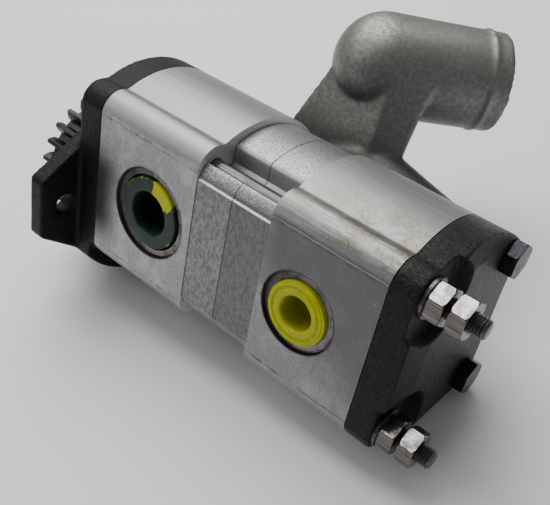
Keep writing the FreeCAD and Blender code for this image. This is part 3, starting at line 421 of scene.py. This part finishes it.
def extruded_aluminium():
    f = Finish("extruded_aluminium", Metallic=0.8)
    drawn = f.noise(1.0, 5.0, 0.65, along=(16.0, 1500.0, 1500.0))
    broad = f.noise(1.0, 3.0, 0.5, along=(3.0, 210.0, 210.0))
    grain = f.noise(1900.0, 3.0, 0.7)
    skim = f.noise(1.0, 4.0, 0.6, along=(1500.0, 200.0, 90.0))
    on_side = f.ramp(f.math("ABSOLUTE", f.facing("Y")), 0.90, 0.985)
    lit_end_face = f.ramp(f.facing("X"), 0.80, 0.97)
    tone = f.mix(f.ramp(drawn, 0.30, 0.70), grey(0.245, 0.0, 0.005), grey(0.345, 0.0, 0.010))
    tone = f.mix(f.ramp(broad, 0.35, 0.70, 0.0, 0.45), tone, grey(0.29, 0.0, 0.008))
    tone = f.mix(on_side, tone, skimmed_side(f, skim, grain))
    # Painted light: faces that look along +X are made much lighter.
    tone = f.mix(lit_end_face, tone, grey(0.85))
    tone = old_oil(f, darkened_sides(f, tone, on_side))
    pit_here = f.ramp(f.noise(95.0, 2.0), 0.60, 0.70)
    pits = f.both(f.ramp(f.cells(330.0), 0.05, 0.16, 1.0, 0.0), pit_here)
    tone = f.mix(f.math("MULTIPLY", pits, 0.8), tone, grey(0.10, 0.01))
    scratch = f.ramp(f.noise(1.0, 2.0, 0.5, along=(60.0, 2600.0, 1400.0)), 0.74, 0.78)
    tone = f.mix(f.math("MULTIPLY", scratch, 0.35), tone, grey(0.70))
    tone = spot_faces(f, skim_edge(f, tone))
    rough = f.math("ADD", f.ramp(drawn, 0.2, 0.8, 0.42, 0.52), f.ramp(on_side, 0.0, 1.0, 0.0, 0.08))
    lines = f.node("Mix", {0: on_side, 2: drawn, 3: skim}, data_type="FLOAT").outputs[0]
    normal = f.bump(f.math("MULTIPLY_ADD", pits, -2.0, lines), 0.16, 0.06 * MM)
    f.done(tone, rough, f.bump(grain, 0.25, 0.05 * MM, normal))


extruded_aluminium()


# %% [markdown]
# ## Die-cast plates
# The plates between the sections come out of a steel die, then their flats are milled where they
# stand beside the bodies. The cast skin sparkles with fine grains that each catch the light, and
# the milled flats carry upright strokes of the cutter. A thin painted highlight runs along the top
# of the flats, the near wall of the arch gets a painted highlight, and the joints between the
# castings are dark lines.


# %% Plate casting
def plate_casting():
    f = Finish("plate_casting", Metallic=0.9)
    grains = f.noise(1500.0, 3.0, 0.8)
    coarse = f.noise(420.0, 4.0, 0.7)
    strokes = f.noise(1.0, 5.0, 0.7, along=(700.0, 400.0, 420.0))
    milled = f.both(f.ramp(f.math("ABSOLUTE", f.facing("Y")), 0.90, 0.99),
                    f.ramp(f.math("ABSOLUTE", f.axis("Y")), 38.5 * MM, 40.5 * MM))
    second = f.ramp(f.axis("X"), plate_high.x - 0.4 * MM, plate_high.x + 0.4 * MM)
    cast = f.mix(f.ramp(grains, 0.40, 0.60), grey(0.14, 0.0, 0.003), grey(0.44, 0.0, 0.01))
    cast = f.mix(f.ramp(coarse, 0.40, 0.70, 0.0, 0.5), cast, grey(0.24, 0.0, 0.006))
    flat = f.mix(f.ramp(strokes, 0.36, 0.64), grey(0.15, 0.002, -0.003), grey(0.33, 0.004, -0.004))
    flat = f.mix(f.ramp(grains, 0.40, 0.68, 0.0, 0.55), flat, grey(0.15))
    flat = f.mix(f.math("MULTIPLY", second, 0.5), flat, grey(0.11, -0.002, 0.006))
    tone = f.mix(milled, cast, flat)
    # Painted highlight on the near wall of the arch, where it faces the near side.
    arch_highlight = f.both(f.ramp(f.facing("Y"), -0.60, -0.90),
                       f.ramp(f.axis("Y"), -38 * MM, -36 * MM))
    tone = f.mix(f.math("MULTIPLY", arch_highlight, 0.7), tone, grey(0.70))
    height = f.math("ABSOLUTE", f.math("SUBTRACT", f.axis("Z"), MIDDLE_Z))
    # A painted highlight along the top edge of the milled flats.
    at_flat = f.ramp(f.axis("Y"), PLATE_SIDE + 0.8 * MM, PLATE_SIDE + 1.6 * MM, 1.0, 0.0)
    edge_highlight = f.both(f.band(height, LEDGE_Z - MIDDLE_Z, 0.35 * MM, 0.35 * MM), at_flat)
    tone = f.mix(f.math("MULTIPLY", edge_highlight, 0.8), tone, grey(0.72))
    seams = f.band(f.axis("X"), plate_high.x, 0.12 * MM, 0.22 * MM)
    for x in (front_high.x, rear_low.x):
        seams = f.math("MAXIMUM", seams, f.band(f.axis("X"), x, 0.22 * MM, 0.30 * MM))
    tone = f.mix(f.math("MULTIPLY", seams, 0.92), tone, grey(0.02))
    relief = f.node("Mix", {0: milled, 2: grains, 3: strokes}, data_type="FLOAT").outputs[0]
    normal = f.bump(coarse, 0.40, 0.25 * MM, f.bump(relief, 0.60, 0.12 * MM))
    f.done(tone, f.ramp(grains, 0.3, 0.7, 0.58, 0.36), normal)


plate_casting()


# %% [markdown]
# ## Cast iron
# The flange and the rear cover are sand-cast iron, phosphated dark and then wet with oil. The
# skin is pebbled, rubbed brighter on proud edges and nearly black in hollows. Two finishes share
# one recipe, because only their tone differs.


# %% Cast iron
def cast_iron(name, dark, light, gloss, relief):
    """Pebbles over slow rolls, patchy, with painted shade on the near side and the end, and rare
    painted glints.
    """
    f = Finish(name, Metallic=0.5, Specular_IOR_Level=0.35)
    pebble = f.noise(850.0, 4.0, 0.75)
    rolls = f.noise(260.0, 4.0, 0.6)
    patches = f.noise(42.0, 4.0, 0.65)
    tone = f.mix(f.ramp(pebble, 0.36, 0.70), dark, light)
    tone = f.mix(f.ramp(patches, 0.42, 0.68, 0.0, 0.6), tone, dark)
    # Painted shade: faces that look to the near side and along +X are darker.
    tone = f.mix(f.ramp(f.facing("Y"), -0.85, -0.45, 0.55, 0.0), tone, dark)
    tone = f.mix(f.ramp(f.facing("X"), 0.55, 0.95, 0.0, 0.5), tone, dark)
    # Rare painted glints.
    glints = f.both(f.ramp(f.noise(2400.0, 2.0, 0.8), 0.66, 0.74), f.ramp(rolls, 0.45, 0.60))
    tone = f.mix(f.math("MULTIPLY", glints, 0.5), tone, grey(0.22, 0.0, 0.003))
    normal = f.bump(pebble, relief, 0.9 * MM, f.bump(rolls, relief, 1.6 * MM))
    f.done(tone, f.ramp(pebble, 0.3, 0.7, gloss + 0.14, gloss), normal)


cast_iron("flange_iron", dark=(0.006, 0.006, 0.0052, 1), light=(0.0155, 0.015, 0.0125, 1),
          gloss=0.44, relief=0.40)
cast_iron("cover_iron", dark=(0.004, 0.004, 0.004, 1), light=(0.034, 0.033, 0.032, 1),
          gloss=0.33, relief=0.60)


# %% [markdown]
# ## Sand-cast aluminium
# The suction elbow is a rough aluminium casting that has been tumbled. Its skin is an even warm
# grey with a soft sheen and a fine grain. It has painted shade underneath and in the low corner by
# the plates, and the flank of its neck is scored.


# %% Manifold aluminium
def manifold_aluminium():
    f = Finish("manifold_aluminium", Metallic=0.7)
    grain = f.noise(1500.0, 3.0, 0.7)
    skin = f.noise(420.0, 5.0, 0.65)
    clouds = f.noise(26.0, 4.0, 0.6)
    tone = f.mix(f.ramp(skin, 0.35, 0.70), grey(0.170, 0.003, -0.014), grey(0.265, 0.003, -0.016))
    tone = f.mix(f.ramp(clouds, 0.40, 0.70, 0.0, 0.4), tone, grey(0.200, 0.003, -0.016))
    tone = f.mix(f.ramp(grain, 0.62, 0.74, 0.0, 0.35), tone, grey(0.30, 0.0, 0.004))
    scored = f.noise(1.0, 3.0, 0.6, along=(120.0, 120.0, 1500.0))
    neck = f.both(f.ramp(f.axis("Z"), 58 * MM, 66 * MM, 1.0, 0.0), f.ramp(f.facing("X"), 0.3, 0.6))
    scores = f.both(neck, f.ramp(scored, 0.45, 0.62), f.ramp(grain, 0.3, 0.6))
    tone = f.mix(scores, tone, grey(0.24))
    # Painted shade on upward faces low on the elbow, by the plates.
    low = f.both(f.ramp(f.axis("Z"), 46 * MM, 58 * MM, 1.0, 0.0), f.ramp(f.facing("Z"), 0.05, 0.5))
    tone = f.mix(f.math("MULTIPLY", low, 0.8), tone, grey(0.045, 0.003, -0.003))
    # Painted shade on faces that look down.
    shade_under = f.ramp(f.facing("Z"), -0.75, -0.1, 0.6, 0.0)
    tone = f.mix(shade_under, tone, grey(0.09, 0.003, -0.008))
    normal = f.bump(grain, 0.40, 0.12 * MM, f.bump(skin, 0.28, 0.3 * MM))
    normal = f.bump(f.both(scored, neck), 0.5, 0.3 * MM, normal)
    f.done(tone, f.ramp(skin, 0.3, 0.7, 0.52, 0.42), normal)


manifold_aluminium()


# %% [markdown]
# ## Steels, zinc and bronze
# Fasteners and shafts are all steel, and differ in how they were finished: ground and oiled,
# black from the heat treatment, or zinc plated. One recipe with a colour pair, a roughness and a
# direction for its lines covers them, and for the zinc nuts it adds a painted highlight on the
# faces that look up.


# %% Steels
ALONG_X = (30.0, 1400.0, 1400.0)
TURNED = (1600.0, 90.0, 90.0)


def steel(name, dark, light, rough, along, specks=0.0, lit_top_tone=None):
    """Lines along a direction, smears and specks. Given a lit top tone, surfaces that look up get a
    painted highlight in that brighter colour, broken up by the smears."""
    f = Finish(name, Metallic=1.0)
    lines = f.noise(1.0, 5.0, 0.65, along=along)
    smear = f.noise(140.0, 5.0, 0.65, warp=0.6)
    speck = f.noise(1400.0, 3.0, 0.7)
    tone = f.mix(f.ramp(lines, 0.3, 0.7), dark, light)
    tone = f.mix(f.ramp(smear, 0.50, 0.72, 0.0, 0.6), tone, dark)
    tone = f.mix(f.ramp(speck, 0.62, 0.72, 0.0, specks), tone, grey(0.05))
    if lit_top_tone:
        # Painted highlight on the faces that look up.
        upward = f.ramp(f.facing("Z"), 0.35, 0.85, 0.0, 0.9)
        tone = f.mix(f.both(upward, f.ramp(smear, 0.62, 0.40, 0.25, 1.0)), tone, lit_top_tone)
    normal = f.bump(smear, 0.40, 0.2 * MM, f.bump(lines, 0.30, 0.06 * MM))
    f.done(tone, f.ramp(smear, 0.3, 0.7, *rough), normal)


steel("ground_steel", grey(0.40), grey(0.62, 0, 0.01), rough=(0.16, 0.30), along=TURNED)
steel("gear_steel", grey(0.025), grey(0.065), rough=(0.30, 0.44), along=ALONG_X, specks=0.1)
steel("spring_steel", grey(0.10), grey(0.22), rough=(0.34, 0.48), along=TURNED)
steel("stud_steel", grey(0.05), grey(0.16), rough=(0.26, 0.42), along=ALONG_X, specks=0.3)
steel("nut_zinc", grey(0.06, 0.012, -0.008), grey(0.20, 0.012, -0.008), rough=(0.16, 0.30),
      along=ALONG_X, specks=0.4, lit_top_tone=grey(0.36, 0.012, -0.012))
steel("bolt_black", grey(0.016, 0, 0.002), grey(0.05, 0, 0.004), rough=(0.26, 0.40),
      along=TURNED, specks=0.1)
steel("bush_bronze", (0.40, 0.27, 0.13, 1), (0.60, 0.43, 0.22, 1), rough=(0.25, 0.4), along=TURNED)
steel("bearing_alloy", grey(0.44), grey(0.66, 0, 0.01), rough=(0.26, 0.40), along=TURNED)


# %% [markdown]
# ## Rubber and moulded caps
# Seals are black rubber. The ports are closed with soft plastic caps, one dark green and one
# bright yellow. The green one carries a dab of yellow paint where it was touched by a marker, so
# its finish has a patch placed on the rim. Both carry painted shade deep in their hollows.

# %% Rubber and plastics
YELLOW_PAINT = (0.47, 0.50, 0.002, 1)
GREEN_HOLLOW, YELLOW_HOLLOW = 12.0 * MM, 8.9 * MM


def seal_rubber():
    f = Finish("seal_rubber", Specular_IOR_Level=0.35)
    grain = f.noise(900.0, 3.0)
    tone = f.mix(grain, grey(0.010), grey(0.030))
    f.done(tone, f.ramp(grain, 0.3, 0.7, 0.5, 0.7), f.bump(grain, 0.3, 0.1 * MM))


def plastic(name, deep, bright):
    """A started finish, with its tone, roughness and normal from a mottle and fine scuffs."""
    f = Finish(name, Subsurface_Weight=0.03, Specular_IOR_Level=0.25)
    tone = f.mix(f.ramp(f.noise(160.0, 4.0, 0.6), 0.3, 0.7), deep, bright)
    scuff = f.noise(700.0, 4.0, 0.7)
    return f, tone, f.ramp(scuff, 0.35, 0.7, 0.34, 0.5), f.bump(scuff, 0.25, 0.12 * MM)


def plug_yellow():
    deep, bright = (0.37, 0.39, 0.0005, 1), (0.47, 0.50, 0.001, 1)
    f, tone, rough, normal = plastic("plug_yellow", deep, bright)
    r = f.around(PORT_X[1], MIDDLE_Z)
    # Painted shade deep in the hollow.
    hollow = f.ramp(r, YELLOW_HOLLOW - 0.3 * MM, YELLOW_HOLLOW + 0.5 * MM, 0.45, 0.0)
    f.done(f.mix(hollow, tone, (0.20, 0.18, 0.002, 1)), rough, normal)


def plug_green():
    """The dab is a ball about a point on the rim, with a wavy border, left off the hollow. Thin
    traces of the paint also lie on the outer edge."""
    deep, bright = (0.010, 0.026, 0.017, 1), (0.018, 0.042, 0.027, 1)
    f, tone, rough, normal = plastic("plug_green", deep, bright)
    r = f.around(PORT_X[0], MIDDLE_Z)
    # Painted shade deep in the hollow.
    hollow = f.ramp(r, GREEN_HOLLOW - 1.0 * MM, GREEN_HOLLOW + 0.3 * MM, 0.85, 0.0)
    tone = f.mix(hollow, tone, (0.003, 0.008, 0.005, 1))
    edge = f.noise(1.0, 4.0, 0.7, along=(420.0, 200.0, 160.0))
    middle = (PORT_X[0] + 9.0 * MM, green_low.y, MIDDLE_Z + 15.0 * MM)
    offset = f.node("VectorMath", {0: f.coords, 1: middle}, operation="DISTANCE").outputs["Value"]
    wave = f.math("MULTIPLY_ADD", edge, 9.0 * MM, offset)
    on_rim = f.ramp(r, GREEN_HOLLOW, GREEN_HOLLOW + 0.4 * MM)
    dab = f.both(f.ramp(wave, 12.2 * MM, 12.8 * MM, 1.0, 0.0), on_rim)
    traces = f.both(f.ramp(r, 18.6 * MM, 19.4 * MM), f.ramp(edge, 0.56, 0.62))
    paint = f.math("MAXIMUM", dab, f.math("MULTIPLY", traces, 0.6))
    f.done(f.mix(paint, tone, YELLOW_PAINT), rough, normal)


seal_rubber()
plug_yellow()
plug_green()

# %% [markdown]
# ## Giving out the finishes
# The record says what each CAD node is made of, and each finish has the name of a material there.
# So one loop paints every node, inside ones too, and nothing is painted by hand.

# %% Paint the CAD nodes
for name, node in nodes.items():
    node.data.materials.clear()
    node.data.materials.append(finishes[slots[name]])
print("finishes", len(finishes), "for", len(nodes), "nodes")


# %% [markdown]
# ## Broken edges on machined pieces
# No machined edge is knife-sharp: a file or a tumbling drum breaks it, and that thin band is what
# catches the light. The CAD meshes are loose triangles, so they are welded and their flat regions
# merged before a Bevel rounds only the real corners. These are modifiers, so the CAD shape itself
# is untouched.


# %% Bevel the machined nodes
SAME_POINT = 0.002 * MM
EDGE_WIDTHS = {"front_body": 0.3, "rear_body": 0.3, "front_end_plate": 0.25,
               "rear_front_plate": 0.25, "inner_stud_nuts": 0.22, "outer_stud_nuts": 0.22,
               "stud_washers": 0.2, "hex_head_bolts": 0.25, "input_nut": 0.2, "input_gear": 0.3}


def break_edges(piece, width):
    weld = piece.modifiers.new("weld", "WELD")
    weld.merge_threshold = SAME_POINT
    flat = piece.modifiers.new("flats", "DECIMATE")
    flat.decimate_type = "DISSOLVE"
    flat.angle_limit = math.radians(0.6)
    bevel = piece.modifiers.new("edge", "BEVEL")
    bevel.width = width
    bevel.segments = 2
    bevel.limit_method = "ANGLE"
    bevel.angle_limit = math.radians(32)
    shade = piece.modifiers.new("shade", "WEIGHTED_NORMAL")
    shade.weight = 80


for name, width in EDGE_WIDTHS.items():
    break_edges(nodes[name], width * MM)
print("bevelled", sorted(EDGE_WIDTHS))


# %% [markdown]
# ## Cast skins
# A casting has no sharp corners: every inside corner is filled and every outside one is worn
# round. Copying the CAD mesh, remeshing it as small cells and relaxing it gives exactly that,
# because relaxing only moves points where the surface turns. A slow ripple is added afterwards
# for the unevenness of the sand.


# %% Cast skin helper
RIPPLE_LENGTH = 6.5 * MM


def relaxed_copy(name, cell, relax):
    """The CAD mesh welded, remade from cells, and each point moved half way to the average of
    its neighbours, relax times."""
    mesh = nodes[name].data.copy()
    work = bpy.data.objects.new(name + "_work", mesh)
    bpy.context.scene.collection.objects.link(work)
    work.modifiers.new("weld", "WELD").merge_threshold = SAME_POINT
    remesh = work.modifiers.new("cells", "REMESH")
    remesh.mode = "VOXEL"
    remesh.voxel_size = cell
    smooth = work.modifiers.new("relax", "SMOOTH")
    smooth.factor = 0.5
    smooth.iterations = relax
    drawn = work.evaluated_get(bpy.context.evaluated_depsgraph_get())
    skin = bpy.data.meshes.new_from_object(drawn)
    bpy.data.objects.remove(work)
    skin.name = name + "_skin"
    return skin


def cast_skin(name, cell, relax, ripple):
    """The relaxed copy pushed along its normals by ripple times the mean of three slow sines of
    position, and kept inside the CAD node's box."""
    skin = relaxed_copy(name, cell, relax)
    co = np.empty(len(skin.vertices) * 3, np.float32)
    skin.vertices.foreach_get("co", co)
    co = co.reshape(-1, 3)
    out = np.empty(len(skin.vertices) * 3, np.float32)
    skin.vertex_normals.foreach_get("vector", out)
    x, y, z = (co / RIPPLE_LENGTH).T
    wave = (np.sin(x + 1.3 * np.sin(y)) + np.sin(1.2 * y + 0.9 * z) + np.sin(1.7 * z - 0.8 * x)) / 3
    co = co + (wave * ripple)[:, None] * out.reshape(-1, 3)
    low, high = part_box(name)
    skin.vertices.foreach_set("co", np.clip(co, np.array(low), np.array(high)).ravel())
    skin.shade_smooth()
    return skin


# %% [markdown]
# ## The three castings
# The elbow has the widest fillets, so it takes the largest cells and the most relaxing. The cover
# has small pockets round its nuts, so its cells are the smallest.

# %% Flange, cover and elbow
flange_skin = cast_skin("front_flange", 0.95 * MM, 5, 0.10 * MM)
put("cast_flange", flange_skin, "flange_iron", "front_flange")
cover_skin = cast_skin("rear_cover", 0.75 * MM, 5, 0.10 * MM)
put("cast_cover", cover_skin, "cover_iron", "rear_cover")
elbow_skin = cast_skin("suction_manifold", 1.15 * MM, 8, 0.12 * MM)
put("cast_suction_elbow", elbow_skin, "manifold_aluminium", "suction_manifold")


# %% [markdown]
# ## Studs with cut threads
# Each stud is a plain shank in the middle and a cut thread where the nuts run. A thread is a
# single function of the way along and the way round: the depth follows a triangle wave whose
# phase advances one turn per pitch, so the crest line is a helix without any loop.

# %% Threaded studs
PITCH = 1.5 * MM
THREAD_DEPTH = 0.85 * MM
END_CHAMFER = 1.2 * MM
RINGS_PER_PITCH, POINTS_PER_RING = 14, 40


def stud_points(z, x0, x1, thread_from):
    """Rod along X. Radius = stud radius less depth times a triangle wave of (x / pitch minus
    turn), faded in after thread_from and cut down to a cone at both ends."""
    rings = int((x1 - thread_from) / PITCH * RINGS_PER_PITCH)
    x = np.concatenate((np.linspace(x0, thread_from, 12)[:-1], np.linspace(thread_from, x1, rings)))
    xx, turn = np.meshgrid(x, np.linspace(0, 1, POINTS_PER_RING, endpoint=False), indexing="ij")
    wave = np.abs(((xx / PITCH - turn) % 1.0) * 2 - 1)
    flank = np.clip(wave * 1.25 - 0.12, 0, 1)
    fade = np.clip((xx - thread_from) / (2 * PITCH), 0, 1)
    radius = STUD_RADIUS * 0.995 - THREAD_DEPTH * flank * fade
    radius = np.minimum(radius, STUD_RADIUS - END_CHAMFER + np.minimum(xx - x0, x1 - xx))
    angle = turn * 2 * math.pi
    return np.stack((xx, STUD_Y + radius * np.sin(angle), z + radius * np.cos(angle)), -1)


studs = [stud_points(z, stud_low.x, stud_high.x, cover_low.x) for z in STUD_Z]
put("threaded_studs", grid_mesh("threaded_studs", *studs), "stud_steel", "stud_bolts")


# %% [markdown]
# ## Moulded caps
# Each cap is turned in shape: a rim that shows in the spot face, a step, a deep hollow, and ribs
# that grip the port's thread. The profile is a short list of corners, and every corner is rounded
# by an arc before the profile is carried round the port's axis.


# %% Caps
CORNER = 0.5 * MM
GREEN_RIM, YELLOW_RIM = 19.75 * MM, 16.4 * MM
AXIS_GAP = 0.02 * MM


def rounded(profile, radius, steps=5):
    """Profile with each inner corner replaced by points of a quadratic curve that starts and
    ends at radius from the corner, or at 0.45 of a shorter side."""
    points = np.array(profile, float)
    out = [points[0]]
    t = np.linspace(0, 1, steps)[:, None]
    for before, corner, after in zip(points[:-2], points[1:-1], points[2:]):
        r0 = min(radius, 0.45 * np.linalg.norm(corner - before))
        r1 = min(radius, 0.45 * np.linalg.norm(after - corner))
        a = corner + (before - corner) / np.linalg.norm(before - corner) * r0
        b = corner + (after - corner) / np.linalg.norm(after - corner) * r1
        out += list((1 - t) ** 2 * a + 2 * t * (1 - t) * corner + t ** 2 * b)
    out.append(points[-1])
    return np.array(out)


def cap_mesh(name, x, profile, ring=96):
    """Rounded profile of (radius, y) carried round the port's axis, which runs along Y."""
    radius, y = rounded(profile, CORNER).T
    angle = np.linspace(0, 2 * math.pi, ring, endpoint=False)
    rr, aa = np.meshgrid(radius, angle, indexing="ij")
    yy = np.repeat(y[:, None], ring, axis=1)
    return grid_mesh(name, np.stack((x + rr * np.sin(aa), yy, MIDDLE_Z + rr * np.cos(aa)), -1))


def cap_profile(low, high, hollow, rim, shoulder, steps):
    """From the middle of the hollow's floor, out over the rim, and back behind it, past three
    ribs, to the middle of the closed end."""
    grip = (high.x - low.x) / 2
    barrel = rim - 1.0 * MM
    floor_y = high.y - 3.0 * MM
    points = [(AXIS_GAP, floor_y), (hollow - 0.7 * MM, floor_y), (hollow, low.y + 1.2 * MM)]
    points += steps + [(rim, low.y + 0.6 * MM), (rim, shoulder), (barrel, shoulder + 0.05 * MM)]
    for start in (2.0, 5.5, 9.0):
        y = shoulder + start * MM
        points += [(barrel, y), (grip, y + 0.1 * MM), (grip, y + 1.2 * MM), (barrel, y + 1.3 * MM)]
    return points + [(barrel, high.y), (AXIS_GAP, high.y)]


# %% [markdown]
# ## The two caps
# The green cap is wide and flat, with a large hollow. The yellow one is smaller, and its face
# steps down over a groove and a narrow ring to a low rim.

# %% Green and yellow cap
face = green_low.y
steps = [(12.3 * MM, face), (GREEN_RIM - 0.3 * MM, face + 0.05 * MM)]
profile = cap_profile(green_low, green_high, GREEN_HOLLOW, GREEN_RIM, face + 3.8 * MM, steps)
green_cap = cap_mesh("green_port_cap", PORT_X[0], profile)
put("green_port_cap", green_cap, "plug_green", "front_port_plug")

face = yellow_low.y
steps = [(9.5 * MM, face), (12.3 * MM, face + 0.05 * MM), (12.9 * MM, face + 0.75 * MM),
         (13.7 * MM, face + 0.75 * MM), (14.1 * MM, face + 0.2 * MM), (14.9 * MM, face + 0.2 * MM),
         (15.2 * MM, face + 0.6 * MM), (YELLOW_RIM - 0.2 * MM, face + 0.6 * MM)]
profile = cap_profile(yellow_low, yellow_high, YELLOW_HOLLOW, YELLOW_RIM, face + 5.0 * MM, steps)
yellow_cap = cap_mesh("yellow_port_cap", PORT_X[1], profile)
put("yellow_port_cap", yellow_cap, "plug_yellow", "rear_port_plug")

# %% [markdown]
# ## Floor
# The pump lies tipped on a pale table, resting on the flange's round edge and the cover's lower
# side. So the floor is a plane turned to that slope and pushed up until it touches the lowest
# point, and it is clear from behind, for views from below.

# %% Floor
FLOOR_UP = Vector((-0.09, -0.22, 0.97)).normalized()
FLOOR_SIZE = 3.0


def lowest_along(direction):
    """How far along a direction the lowest CAD point is."""
    lowest = []
    for node in nodes.values():
        co = np.empty(len(node.data.vertices) * 3, np.float32)
        node.data.vertices.foreach_get("co", co)
        lowest.append((co.reshape(-1, 3) @ np.array(direction)).min())
    return float(min(lowest))


turn = FLOOR_UP.to_track_quat("Z", "Y").to_matrix().to_4x4()
bpy.ops.mesh.primitive_plane_add(size=FLOOR_SIZE)
floor = bpy.context.object
floor.name = "floor"
floor.matrix_world = Matrix.Translation(FLOOR_UP * lowest_along(FLOOR_UP)) @ turn

paper = Finish("pale_table", Roughness=0.55, Specular_IOR_Level=0.3)
clouded = paper.mix(paper.noise(9.0, 5.0, 0.6), grey(0.80, 0.012, 0.016), grey(0.84, 0.012, 0.016))
paper.feed(paper.shader.inputs["Base Color"], clouded)
behind = paper.node("NewGeometry").outputs["Backfacing"]
clear = paper.node("BsdfTransparent").outputs[0]
blend = paper.node("MixShader", {0: behind, 1: paper.shader.outputs[0], 2: clear})
paper.feed(paper.tree.nodes["Material Output"].inputs["Surface"], blend.outputs[0])
floor.data.materials.append(paper.material)
print("floor at", round(lowest_along(FLOOR_UP) / MM, 1), "along its own upward direction")


# %% [markdown]
# ## Light
# One wide soft light hangs over the pump, to its left and slightly behind it, and draws the long
# highlights on the arches. A weaker one stands to the front left, and a pale surround fills the
# shadows.


# %% Lights
def area_light(name, direction, distance, size, power, color):
    """A square light that looks at the target from a direction."""
    data = bpy.data.lights.new(name, "AREA")
    data.size = size
    data.energy = power
    data.color = color
    lamp = bpy.data.objects.new(name, data)
    bpy.context.scene.collection.objects.link(lamp)
    aim = Vector(direction).normalized()
    turned = aim.to_track_quat("Z", "Y").to_matrix().to_4x4()
    lamp.matrix_world = Matrix.Translation(TARGET + aim * distance) @ turned
    print(name, power, "W")


area_light("overhead", FLOOR_UP + Vector((-0.38, 0.30, 0)), distance=1.3, size=1.2, power=25,
           color=(1.0, 0.99, 0.98))
area_light("front_left", (-0.9, -0.9, 0.75), distance=1.4, size=0.9, power=4,
           color=(0.99, 0.99, 1.0))
world = bpy.data.worlds.new("surround")
bpy.context.scene.world = world
world.use_nodes = True
sky = world.node_tree.nodes["Background"].inputs
sky["Color"].default_value = (0.80, 0.80, 0.83, 1)
sky["Strength"].default_value = 0.31
